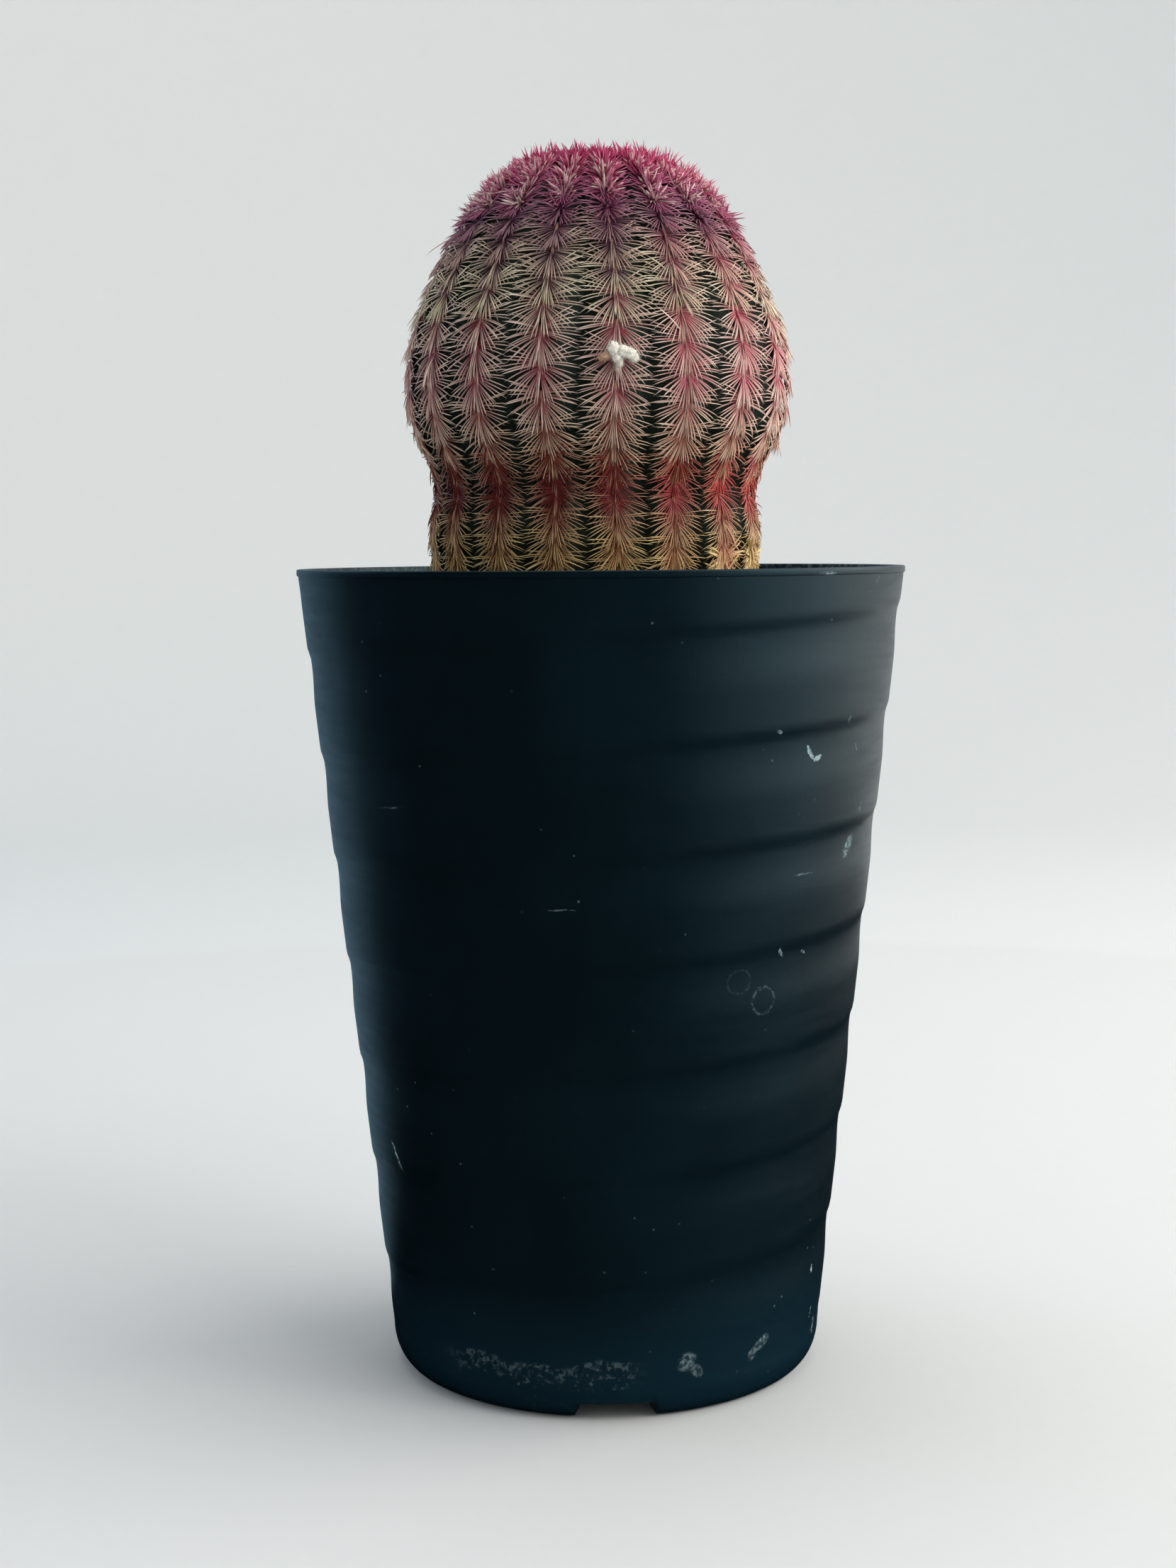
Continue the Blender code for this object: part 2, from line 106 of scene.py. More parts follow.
# Potting mix.
SOIL_TOP = POT_HIGH.z - 9.5 * MM
SOIL_GAP = 0.3 * MM
SOIL_SIDES = 220
SOIL_ROWS = 40
SOIL_RELIEF = 0.7 * MM
CRUMB_SIZE = 1.6 * MM
LARGE_GRAIN_SHARE = 0.08
LARGE_GRAIN = 1.9
STEM_HOLE = 24.2 * MM
STEM_HOLE_DEPTH = 12 * MM

# Stem: the outline of the rib crests, as height above the ground and radius.
STEM_OUTLINE = (
    (126.0 * MM, 24.4 * MM),
    (133.0 * MM, 25.6 * MM),
    (139.5 * MM, 26.0 * MM),
    (145.5 * MM, 25.5 * MM),
    (150.5 * MM, 26.9 * MM),
    (156.5 * MM, 29.5 * MM),
    (163.0 * MM, 30.3 * MM),
    (170.5 * MM, 29.3 * MM),
    (178.0 * MM, 26.5 * MM),
    (186.0 * MM, 22.3 * MM),
    (192.5 * MM, 16.8 * MM),
    (196.3 * MM, 10.6 * MM),
    (197.3 * MM, 6.4 * MM),
    (197.2 * MM, 3.2 * MM),
)
OUTLINE_STEPS = 24
CROWN_MIDDLE = 196.6 * MM
FRONT_RIB_ANGLE = math.radians(-84.7)
RIB_FULL_RADIUS = 16 * MM
NECK_SHIFT = -0.95 * MM
GLOBE_SHIFT = -0.3 * MM
NECK_TOP = 143 * MM
GLOBE_START = 158 * MM
BASE_RADIUS = 23.6 * MM
ROOT_RINGS = ((1.0, 0.0), (0.96, 3.5 * MM), (0.72, 8.5 * MM), (0.34, 11.4 * MM))
STEM_ROWS = 170
RIB_COLUMNS = 12
TUBERCLE_RISE = 0.35 * MM
FULL_SPACING = 3.9 * MM
RIB_MEANDER = 0.3 * MM
NECK_TWIST = math.radians(2.2)
MEANDER_LENGTH = 44 * MM

# Areoles: long narrow felt cushions, set along each crest.
FELT_HALF_WIDTH = 0.30 * MM
FELT_HALF_HEIGHT = 1.15 * MM
FELT_RISE = 0.42 * MM
FELT_HAIRS = 5
FELT_HAIR_LENGTH = 0.5 * MM
FELT_HAIR_RADIUS = 0.04 * MM

# How spines grow at each height above the ground: the spacing of the areoles and the length of a spine, then
# in degrees the turn of the highest spine of a comb, how far a spine leans out at its root, how far that lean
# droops along it and how far it bends down, and last the spines on each side.
Habit = namedtuple("Habit", "height spacing length top_turn lean droop bend count")
HABITS = (
    Habit(126.0 * MM, 3.3 * MM, 5.6 * MM, 10, 18, 30, 14, 17),
    Habit(143.0 * MM, 3.3 * MM, 5.6 * MM, 10, 17, 30, 14, 17),
    Habit(149.0 * MM, 3.6 * MM, 5.7 * MM, 10, 14, 28, 14, 17),
    Habit(155.0 * MM, 4.5 * MM, 6.2 * MM, 18, 10, 24, 14, 17),
    Habit(163.0 * MM, 4.8 * MM, 6.7 * MM, 28, 11, 24, 12, 18),
    Habit(175.0 * MM, 4.6 * MM, 6.6 * MM, 38, 15, 25, 10, 18),
    Habit(184.0 * MM, 3.8 * MM, 5.9 * MM, 42, 16, 24, 4, 18),
    Habit(191.0 * MM, 3.1 * MM, 4.8 * MM, 48, 24, 18, 0, 16),
    Habit(197.5 * MM, 2.3 * MM, 3.2 * MM, 80, 50, 4, 0, 12),
)
BOTTOM_TURN = -80
NECK_GIRTH = 0.8
SPINE_LAYERING = 0.05
SPINE_STEPS = 5
SPINE_SIDES = 3
SPINE_TAPER = (1.0, 1.08, 1.04, 0.94, 0.70)
CREST_SPINES = 9
TUFT_START = 189 * MM
TUFT_END = 195.5 * MM
STRAY_SHARE = 0.002
STRAY_LENGTH = 1.25
STRAY_LEAN = math.radians(35)
STRAY_TONE = 0.97

# Brushes of bristles: how many, how long, how wide against a spine, and the range of their tones. The cream
# ones make a band below the crown, the magenta ones cover it, and the youngest stand in its middle.
Brush = namedtuple("Brush", "count length width tones")
CREAM_BRUSH = Brush(24, 3.3 * MM, 1.5, (0.94, 1.0))
CROWN_BRUSH = Brush(18, 4.2 * MM, 1.0, (0.0, 0.7))
APEX_BRUSH = Brush(10, 2.0 * MM, 0.9, (0.2, 1.0))
CROWN_START = 187.5 * MM
CROWN_DIP = (4.0 * MM, 10.0 * MM)
CROWN_MIDDLE_SHARE = 0.5
APEX_RADIUS = 4.2 * MM
APEX_BUNCHES = 80
APEX_SINK = 0.5 * MM
APEX_SIZE = 0.5
APEX_TILT = 0.35

# The broad yellowed spines that lie matted together, low on the right.
MATTED_ANGLE = math.radians(-33)
MATTED_HALF_ANGLE = math.radians(22)
MATTED_HEIGHT = 137 * MM
MATTED_SPINES = 16
MATTED_LENGTH = 5.4 * MM

Spine = namedtuple("Spine", "root across up out side turn bend lean droop length radius growth tone")
Areole = namedtuple("Areole", "middle across up out height size")


def linear(hex_colour):
    """An sRGB hex colour as the linear colour that shaders work in."""
    channels = [int(hex_colour[i : i + 2], 16) / 255 for i in (1, 3, 5)]
    return tuple(c / 12.92 if c <= 0.04045 else ((c + 0.055) / 1.055) ** 2.4 for c in channels)


class PotSettings(bpy.types.PropertyGroup):
    """Sizes and colours of the nursery pot."""

    height: FloatProperty(
        name="Height", description="From the ground to the rim", default=POT_HIGH.z, unit="LENGTH"
    )
    rim_radius: FloatProperty(
        name="Rim radius", description="Outer radius of the rim", default=POT_HIGH.x, unit="LENGTH"
    )
    wall: FloatProperty(
        name="Wall", description="Thickness of the moulded wall", default=1.1 * MM, unit="LENGTH"
    )
    ripple_pitch: FloatProperty(
        name="Ripple pitch", description="Drop of the groove in one turn", default=16.8 * MM, unit="LENGTH"
    )
    ripple_depth: FloatProperty(
        name="Ripple depth", description="Depth of the groove", default=0.38 * MM, unit="LENGTH"
    )
    plastic: FloatVectorProperty(
        name="Plastic", description="Colour of the plastic", default=linear("#03131A"), subtype="COLOR"
    )
    limescale: FloatVectorProperty(
        name="Limescale", description="Colour of dried hard water", default=linear("#8FA3A6"), subtype="COLOR"
    )


class SoilSettings(bpy.types.PropertyGroup):
    """Grains and colour of the potting mix."""

    grains: IntProperty(name="Grains", description="Loose grains on the surface", default=840, min=0)
    grain_size: FloatProperty(
        name="Grain size", description="Radius of a usual grain", default=0.8 * MM, unit="LENGTH"
    )
    peat: FloatVectorProperty(
        name="Peat", description="Colour of the fine mix", default=linear("#4A3A2C"), subtype="COLOR"
    )


class PlantSettings(bpy.types.PropertyGroup):
    """Counts, sizes and colours of the stem and its spines."""

    ribs: IntProperty(name="Ribs", description="Ribs round the stem", default=17, min=5)
    rib_depth: FloatProperty(
        name="Rib depth", description="From a crest down to the valley", default=2.7 * MM, unit="LENGTH"
    )
    spine_radius: FloatProperty(
        name="Spine radius", description="Radius of a spine at its root", default=0.13 * MM, unit="LENGTH"
    )
    skin: FloatVectorProperty(
        name="Skin", description="Colour of the stem's skin", default=linear("#13241D"), subtype="COLOR"
    )
    felt: FloatVectorProperty(
        name="Felt", description="Colour of the areoles' felt", default=linear("#B98F78"), subtype="COLOR"
    )
    wool: FloatVectorProperty(
        name="Wool", description="Colour of the wool tuft", default=linear("#FBF8EE"), subtype="COLOR"
    )


class StageSettings(bpy.types.PropertyGroup):
    """The floor, the lamps and the camera."""

    board: FloatVectorProperty(
        name="Board", description="Colour of the pale board", default=linear("#E6E8E8"), subtype="COLOR"
    )
    card: FloatVectorProperty(
        name="Card", description="Colour of the card on the left", default=linear("#86AFC6"), subtype="COLOR"
    )
    lens: FloatProperty(name="Lens", description="Focal length of the camera", default=54.1, unit="CAMERA")
    window: FloatProperty(name="Window", description="Power of the right lamp", default=7.0, unit="POWER")
    fill: FloatProperty(name="Fill", description="Power of the left lamp", default=0.65, unit="POWER")
    front: FloatProperty(name="Front", description="Power of the high front lamp", default=3.5, unit="POWER")
    top: FloatProperty(name="Top", description="Power of the lamp overhead", default=6.4, unit="POWER")
    room: FloatProperty(name="Room", description="Strength of the light from all round", default=0.27)


# Settings that many nodes share: a range with soft ends, and a mix of two colours.
SMOOTH = {"interpolation_type": "SMOOTHSTEP"}
RGBA = {"data_type": "RGBA"}


def connect(node, inputs):
    """Fills a node's inputs, by name or by order among those it shows, with values, sockets or nodes."""
    shown = [socket for socket in node.inputs if socket.enabled]
    for key, value in dict(inputs).items():
        socket = shown[key] if isinstance(key, int) else node.inputs[key]
        if isinstance(value, bpy.types.Node):
            value = next(output for output in value.outputs if output.enabled)
        if isinstance(value, bpy.types.NodeSocket):
            node.id_data.links.new(value, socket)
        elif socket.type == "RGBA":
            colour = linear(value) if isinstance(value, str) else value
            socket.default_value = (*colour, 1)
        else:
            socket.default_value = value


def add_node(tree, kind, *ordered, inputs=(), stops=(), **settings):
    """Adds a node with its settings, its colour stops and its inputs, given in order or by name."""
    node = tree.nodes.new(f"ShaderNode{kind}")
    for name, value in settings.items():
        setattr(node, name, value)
    for i, (place, colour) in enumerate(stops):
        ramp = node.color_ramp.elements
        stop = ramp[i] if i < len(ramp) else ramp.new(place)
        stop.position = place
        stop.color = (*linear(colour), 1)
    connect(node, enumerate(ordered))
    connect(node, inputs)
    return node


def new_material(name):
    """A material, what adds a node to it, its shader and the place of each point in metres."""
    material = bpy.data.materials.new(name)
    material.use_nodes = True
    add = partial(add_node, material.node_tree)
    place = add("TexCoord").outputs["Object"]
    return material, add, material.node_tree.nodes["Principled BSDF"], place


def patches(add, place, size, detail, low, high, least=0.0, most=1.0, roughness=0.5):
    """Soft-edged patches of about one size. They cover more where their two limits are lower."""
    clouds = add("TexNoise", place, 1 / size, detail, roughness)
    return add("MapRange", clouds, low, high, least, most, **SMOOTH)


# Marks of use on the pot's wall. Each has its degrees to the right of the front, then in millimetres its
# height, half length and half width, then its tilt in degrees and its strength.
SCUFFS = (
    (43.2, 105.0, 1.4, 0.40, -58, 6.0),
    (45.3, 104.0, 1.0, 0.42, 22, 6.0),
    (59.8, 89.0, 2.4, 1.3, 50, 0.6),
    (63.3, 95.0, 1.1, 0.6, 70, 0.4),
    (58.9, 105.0, 0.9, 0.22, 100, 0.6),
    (34.7, 108.5, 0.7, 0.3, -20, 0.5),
    (54.4, 109.5, 0.8, 0.35, 60, 0.4),
    (44.1, 86.0, 2.2, 0.22, 2, 0.5),
    (39.3, 74.0, 1.0, 0.34, -60, 1.2),
    (46.2, 73.5, 0.7, 0.30, -20, 0.8),
    (-57.4, 39.3, 3.4, 0.4, -56, 1.2),
    (-45.3, 96.7, 2.9, 0.16, 5, 0.3),
    (-8.3, 82.4, 2.8, 0.16, 0, 0.3),
    (64.8, 18.5, 0.9, 0.45, 80, 1.2),
    (67.5, 10.9, 0.8, 0.4, 85, 0.8),
    (71.7, 7.6, 1.9, 0.9, 80, 0.6),
    (60.0, 131.0, 0.9, 0.25, 50, 0.8),
    (43.3, 132.2, 2.0, 0.35, 0, 0.5),
    (-65.4, 129.8, 0.9, 0.18, 30, 0.5),
    (20.4, 9.4, 2.4, 1.7, 30, 0.42),
    (23.2, 7.6, 1.7, 1.2, -40, 0.3),
    (42.9, 9.9, 2.6, 1.1, 24, 0.5),
    (40.0, 8.4, 1.5, 1.3, 60, 0.4),
    (141.0, 60.0, 3.4, 0.5, -35, 0.8),
    (-128.0, 92.0, 1.6, 0.35, 50, 0.8),
    (176.0, 25.0, 5.0, 0.5, 75, 0.6),
)
DRIED_DROPS = (
    (29.0, 70.2, 2.2, 2.0, 0, 0.05),
    (35.2, 66.8, 2.3, 2.3, 20, 0.16),
)
MARK_RADIUS = 43 * MM
MARK_SHAKE = 0.9 * MM
WATER_LINE = 9.6 * MM


def unrolled_wall(add, place):
    """The wall laid flat, as the way round from the front and the height, then its turn and its height."""
    split = add("SeparateXYZ", place)
    back = add("Math", split.outputs["Y"], -1.0, operation="MULTIPLY")
    turn = add("Math", split.outputs["X"], back, operation="ARCTAN2")
    around = add("Math", turn, MARK_RADIUS, operation="MULTIPLY")
    flat = add("CombineXYZ", around, split.outputs["Z"])
    return flat, turn, split.outputs["Z"]


def mark_shape(add, flat, mark, hollow):
    """One mark on the flat wall: a soft-edged oval, or only its ring."""
    angle, height, half_length, half_width, tilt, strength = mark
    middle = (math.radians(angle) * MARK_RADIUS + MARK_SHAKE / 2, height * MM + MARK_SHAKE / 2, 0)
    size = (half_length * MM, half_width * MM, 1)
    own = add("Mapping", flat, middle, (0, 0, math.radians(tilt)), size, vector_type="TEXTURE")
    level = add("VectorMath", own, (1, 1, 0), operation="MULTIPLY")
    away = add("VectorMath", level, operation="LENGTH")
    if hollow:
        ring = add("MapRange", away, 0.80, 1.04, -1.0, 1.0, clamp=False)
        away = add("Math", ring, operation="ABSOLUTE")
    return add("MapRange", away, 1.0, 0.55, 0.0, strength, **SMOOTH)


def wear_marks(add, flat, place):
    """All the marks of use as one mask, broken up as a dragged edge leaves them."""
    jitter = add("TexNoise", place, 1 / (1.5 * MM), 4.0, 0.6).outputs["Color"]
    shake = add("VectorMath", jitter, operation="SCALE", inputs={"Scale": MARK_SHAKE})
    shaken = add("VectorMath", flat, shake, operation="ADD")
    shapes = [mark_shape(add, shaken, mark, hollow=False) for mark in SCUFFS]
    shapes += [mark_shape(add, shaken, mark, hollow=True) for mark in DRIED_DROPS]
    broken = patches(add, place, 0.7 * MM, 4.0, 0.45, 0.57, 0.10, roughness=0.7)
    total = shapes[0]
    for shape in shapes[1:]:
        total = add("Math", total, shape, operation="MAXIMUM")
    return add("Math", total, broken, operation="MULTIPLY")


def hard_water(add, place, turn, height):
    """Dried hard water just above the foot: stippled, thickest at its top edge and strongest in front."""
    sway = add("TexNoise", place, 1 / (7 * MM), 4.0, 0.6)
    lift = add("MapRange", sway, 0, 1, -3 * MM - WATER_LINE, 3 * MM - WATER_LINE)
    above = add("Math", height, lift, operation="ADD")
    below = add("MapRange", above, 0.4 * MM, -0.3 * MM, **SMOOTH)
    density = add("MapRange", above, -5 * MM, -0.3 * MM)
    spots = add("TexNoise", place, 1 / (0.9 * MM), 4.0, 0.7)
    crowded = add("Math", density, 0.16, spots, operation="MULTIPLY_ADD")
    stipple = add("MapRange", crowded, 0.60, 0.76, 0, 0.19, **SMOOTH)
    foot = add("Math", below, stipple, operation="MULTIPLY")
    from_left = add("MapRange", turn, -0.85, -0.55, **SMOOTH)
    from_right = add("MapRange", turn, 0.20, 0.05, **SMOOTH)
    front = add("Math", from_left, from_right, operation="MULTIPLY")
    patchy = patches(add, place, 24 * MM, 1.0, 0.50, 0.62)
    aside = add("Math", turn, operation="ABSOLUTE")
    behind = add("MapRange", aside, 1.25, 1.6, 0, 0.8, **SMOOTH)
    elsewhere = add("Math", patchy, behind, operation="MULTIPLY")
    side = add("Math", front, elsewhere, operation="MAXIMUM")
    return add("Math", foot, side, operation="MULTIPLY")


def inner_film(add, place, height, pot):
    """The mottled pale film that watering leaves on the inside, above the soil."""
    level = add("VectorMath", place, (1, 1, 0), operation="MULTIPLY")
    radius = add("VectorMath", level, operation="LENGTH")
    foot, rim = WALL_FOOT_RADIUS - pot.wall, pot.rim_radius - pot.wall
    wall = add("MapRange", height, CORNER_HEIGHT, pot.height, foot, rim)
    inwards = add("Math", wall, radius, operation="SUBTRACT")
    inside = add("MapRange", inwards, -0.6 * MM, -0.3 * MM, 0, 0.5, **SMOOTH)
    mottled = patches(add, place, 1.4 * MM, 6.0, 0.44, 0.66, roughness=0.75)
    film = add("Math", inside, mottled, operation="MULTIPLY")
    watered = add("MapRange", height, SOIL_TOP - 4 * MM, SOIL_TOP, **SMOOTH)
    return add("Math", film, watered, operation="MULTIPLY")


def settled_dust(add, place):
    """Sparse pale specks of dust and grit, in drifts."""
    specks = add("TexVoronoi", place, 1 / (3.2 * MM))
    speck = add("MapRange", specks, 0.085, 0.03, 0, 0.3, **SMOOTH)
    drift = patches(add, place, 20 * MM, 2.0, 0.45, 0.7)
    return add("Math", speck, drift, operation="MULTIPLY")


def moulded_black_polyethylene(pot):
    """Black polyethylene, injection moulded: a waxy satin skin with a cold cast and a faint orange peel, and
    painted floor light near its foot.
    """
    material, add, shader, place = new_material("moulded_black_polyethylene")
    flat, turn, height = unrolled_wall(add, place)
    pale = wear_marks(add, flat, place)
    water = hard_water(add, place, turn, height)
    for deposit in (water, inner_film(add, place, height, pot), settled_dust(add, place)):
        pale = add("Math", pale, deposit, operation="MAXIMUM")
    haze = patches(add, place, 26 * MM, 3.0, 0.35, 0.7)
    clean = add("Mix", haze, pot.plastic, "#051820", **RGBA)
    # Painted light: from 24 mm down to the foot the wall is painted a lighter blue-teal, standing in for the
    # pale floor's light on it.
    painted_floor_light = add("MapRange", height, 24 * MM, 6 * MM, **SMOOTH)
    body = add("Mix", painted_floor_light, clean, "#08222E", **RGBA)
    colour = add("Mix", pale, body, pot.limescale, **RGBA)
    drawn_out = add("Mapping", place, (0, 0, 0), (0, 0, 0), (1, 1, 9))
    streaks = add("TexNoise", drawn_out, 1 / (12 * MM), 4.0)
    satin = add("MapRange", streaks, 0, 1, 0.30, 0.48)
    rough = add("Math", pale, 0.35, satin, operation="MULTIPLY_ADD")
    peel = add("TexNoise", place, 1 / (0.55 * MM), 3.0)
    lines = add("TexNoise", drawn_out, 1 / (5 * MM), 2.0)
    skin = add("Math", lines, 0.6, peel, operation="MULTIPLY_ADD")
    relief = add("Math", pale, 1.2, skin, operation="MULTIPLY_ADD")
    bump = add("Bump", inputs={"Height": relief, "Strength": 0.35, "Distance": 0.03 * MM})
    connect(shader, {"Base Color": colour, "Roughness": rough, "Normal": bump})
    connect(shader, {"IOR": 1.48, "Specular Tint": "#9CC8D8"})
    return material


def damp_potting_mix(soil):
    """Peat with fine sand, damp: matt and uneven, with darker hollows."""
    material, add, shader, place = new_material("damp_potting_mix")
    grit = add("TexNoise", place, 1 / (0.7 * MM), 6.0, 0.7)
    damp = patches(add, place, 9 * MM, 2.0, 0.35, 0.65)
    peat = add("Mix", damp, "#2B2019", soil.peat, **RGBA)
    sand = add("MapRange", grit, 0.45, 0.72, **SMOOTH)
    colour = add("Mix", sand, peat, "#8A7458", **RGBA)
    bump = add("Bump", inputs={"Height": grit, "Strength": 0.8, "Distance": 0.4 * MM})
    connect(shader, {"Base Color": colour, "Roughness": 0.92, "Normal": bump})
    return material


GRAIN_KINDS = (
    (0.0, "#2E2118"),
    (0.30, "#5B4330"),
    (0.55, "#7A6147"),
    (0.72, "#8B8378"),
    (0.86, "#A9A397"),
    (0.95, "#D9D5CA"),
)


def bark_and_pumice():
    """Crushed bark, pumice and perlite: each grain has one colour, with a dusty, pitted surface."""
    material, add, shader, place = new_material("bark_and_pumice")
    kind = add("Attribute", attribute_name="tone").outputs["Fac"]
    grain = add("ValToRGB", kind, stops=GRAIN_KINDS)
    pits = add("TexNoise", place, 1 / (0.35 * MM), 4.0, 0.7)
    dusty = add("MapRange", pits, 0.35, 0.6, 0.55, 0.0, **SMOOTH)
    colour = add("Mix", dusty, grain, "#241A13", **RGBA)
    bump = add("Bump", inputs={"Height": pits, "Strength": 0.7, "Distance": 0.12 * MM})
    connect(shader, {"Base Color": colour, "Roughness": 0.9, "Normal": bump})
    return material


def waxy_cactus_skin(plant):
    """Living skin under a thin wax: dark green, faintly mottled, with pale pores, and corky when old."""
    material, add, shader, place = new_material("waxy_cactus_skin")
    mottle = add("TexNoise", place, 1 / (2.4 * MM), 4.0, 0.6)
    patch = add("MapRange", mottle, 0.35, 0.65, **SMOOTH)
    green = add("Mix", patch, plant.skin, "#1B3026", **RGBA)
    height = add("SeparateXYZ", place).outputs["Z"]
    old = add("MapRange", height, 146 * MM, 128 * MM, 0, 0.4, **SMOOTH)
    aged = add("Mix", old, green, "#2E2C1E", **RGBA)
    # The pores are a tenth of a millimetre in life, and drawn twice as coarse so that they show.
    pores = add("TexVoronoi", place, 1 / (0.75 * MM))
    pore = add("MapRange", pores, 0.22, 0.10, 0, 0.16, **SMOOTH)
    colour = add("Mix", pore, aged, "#6F8470", **RGBA)
    bump = add("Bump", inputs={"Height": mottle, "Strength": 0.4, "Distance": 0.12 * MM})
    connect(shader, {"Base Color": colour, "Roughness": 0.55, "IOR": 1.38, "Normal": bump})
    return material


# Colours of a spine's root and tip by the height of its areole in millimetres: each year's growth has a band.
BAND_LOW = 126 * MM
BAND_HIGH = 200 * MM
RED_YEAR = 147 * MM
ROOT_BANDS = (
    (126, "#A3642C"),
    (137, "#9A5528"),
    (142, "#7C2E26"),
    (147, "#741C20"),
    (150.5, "#8A382A"),
    (155, "#99503F"),
    (163, "#983F52"),
    (171, "#8E3D48"),
    (176, "#6C3A46"),
    (181, "#461C30"),
    (188, "#561A3E"),
    (192, "#861448"),
    (197, "#98103F"),
)
TIP_BANDS = (
    (126, "#FBE3A0"),
    (137, "#F8D898"),
    (142, "#EFC69C"),
    (147, "#D8A48C"),
    (150.5, "#F2CBA4"),
    (155, "#F6DAC2"),
    (163, "#F3D3C6"),
    (171, "#F0D4C6"),
    (175.5, "#F1E6C4"),
    (182.5, "#DCBCAC"),
    (187.5, "#A06C84"),
    (191.5, "#C2608A"),
    (197, "#CC3072"),
)


def grown_share(height):
    """How far up the plant this height is, from 0 at the first band to 1 above the crown."""
    return (height - BAND_LOW) / (BAND_HIGH - BAND_LOW)


def banded(bands):
    """Growth bands as the stops of a colour ramp."""
    return [(grown_share(height * MM), colour) for height, colour in bands]


def painted_side_light(add, place, colour, paled, band):
    """Painted light on the right side, where the window lamp shines: the spines there are painted rosier in
    patches and redder in the red year's band, most near their roots.
    """
    across = add("SeparateXYZ", place).outputs["X"]
    # Painted light: the right side's spines, where the lamp light falls, are painted rosier and redder.
    right = add("MapRange", across, -4 * MM, 26 * MM, 0, 0.38, **SMOOTH)
    near_root = add("MapRange", paled, 0, 1, 1.2, 0.6)
    lit_root = add("Math", right, near_root, operation="MULTIPLY")
    painted_rose_light = add("Math", lit_root, patches(add, place, 11 * MM, 2.0, 0.40, 0.62), operation="MULTIPLY")
    rose_lit_colour = add("Mix", painted_rose_light, colour, "#CC4560", **RGBA)
    red = add("MapRange", band, 0.08, 0.01, 0, 1.9, **SMOOTH)
    painted_red_light = add("Math", red, lit_root, operation="MULTIPLY")
    return add("Mix", painted_red_light, rose_lit_colour, "#BC362C", **RGBA)


def horny_spine():
    """Hard horny spine: translucent and satin, dark at its root and paler along its length."""
    material, add, shader, place = new_material("horny_spine")
    names = ("growth", "along", "tone")
    growth, along, tone = (add("Attribute", attribute_name=name).outputs["Fac"] for name in names)
    root = add("ValToRGB", growth, stops=banded(ROOT_BANDS))
    tip = add("ValToRGB", growth, stops=banded(TIP_BANDS))
    apart = add("Math", growth, grown_share(RED_YEAR), operation="SUBTRACT")
    band = add("Math", apart, operation="ABSOLUTE")
    length = add("MapRange", along, 0.08, 0.78, clamp=False)
    own = add("MapRange", tone, 0, 1, -0.25, 0.25)
    held = add("MapRange", band, 0.11, 0.02, 0, -0.42, **SMOOTH)
    shifted = add("Math", own, held, operation="ADD")
    paled = add("Math", length, shifted, operation="ADD", use_clamp=True)
    spine_colour = add("Mix", paled, root, tip, **RGBA)
    bare = add("MapRange", tone, 0.9, 1.0, 0, 0.85)
    cream = add("Mix", bare, spine_colour, "#F3DDD2", **RGBA)
    # Painted light on the spines of the right side.
    colour = painted_side_light(add, place, cream, paled, band)
    connect(shader, {"Base Color": colour, "Roughness": 0.45, "IOR": 1.5})
    glow = {"Subsurface Weight": 0.1, "Subsurface Radius": (1.0, 0.6, 0.4), "Subsurface Scale": 0.4 * MM}
    connect(shader, glow)
    return material


def areole_felt_wool(plant):
    """Short matted felt on the areoles: cream on young ones and browner with age."""
    material, add, shader, place = new_material("areole_felt_wool")
    height = add("SeparateXYZ", place).outputs["Z"]
    young = add("MapRange", height, 136 * MM, 160 * MM, **SMOOTH)
    age = add("Mix", young, "#8E6038", plant.felt, **RGBA)
    shade = patches(add, place, 0.35 * MM, 4.0, 0.35, 0.6, 0.5, 0.0, roughness=0.7)
    colour = add("Mix", shade, age, "#8A5A46", **RGBA)
    connect(shader, {"Base Color": colour, "Roughness": 0.95, "Sheen Weight": 0.3})
    return material


def plant_wool(plant):
    """Fine crimped plant wool: white and soft, and amber where its oldest strands are matted."""
    material, add, shader, place = new_material("plant_wool")
    strands = add("TexNoise", place, 1 / (0.22 * MM), 4.0, 0.7)
    shade = add("MapRange", strands, 0.3, 0.55, 0.45, 0.0, **SMOOTH)
    white = add("Mix", shade, plant.wool, "#CFC8B4", **RGBA)
    age = add("Attribute", attribute_name="tone").outputs["Fac"]
    colour = add("Mix", age, white, "#DDB292", **RGBA)
    bump = add("Bump", inputs={"Height": strands, "Strength": 0.5, "Distance": 0.08 * MM})
    connect(shader, {"Base Color": colour, "Roughness": 0.95, "Normal": bump, "Sheen Weight": 0.3})
    return material


def toothed(name, grain, detail, colour, tooth, share, finish):
    """A matt sheet whose fine tooth is of a second colour, up to the given share."""
    material, add, shader, place = new_material(name)
    pattern = add("TexNoise", place, 1 / grain, detail)
    shade = add("MapRange", pattern, 0, 1, 0, share)
    connect(shader, {"Base Color": add("Mix", shade, colour, tooth, **RGBA), **finish})
    return material


def matt_board(stage):
    """Matt painted board: pale and even, with the faintest tooth."""
    return toothed("matt_board", 3 * MM, 4.0, stage.board, "#C9C9C8", 0.08, {"Roughness": 0.9})


def black_velvet():
    """Cotton velvet: it swallows light, with a trace of tooth."""
    finish = {"Roughness": 1.0, "Specular IOR Level": 0.0}
    return toothed("black_velvet", 2 * MM, 2.0, "#020303", "#060808", 1.0, finish)


def blue_card(stage):
    """Matt blue card: it gives the left side of dark plastic the cold sheen of sky light."""
    return toothed("blue_card", 4 * MM, 2.0, stage.card, "#6A8CA0", 0.1, {"Roughness": 0.9})


def smooth_step(low, high, value):
    """How far a value has come from low to high, from 0 to 1, slow at both ends."""
    share = np.clip((value - low) / (high - low), 0, 1)
    return share * share * (3 - 2 * share)


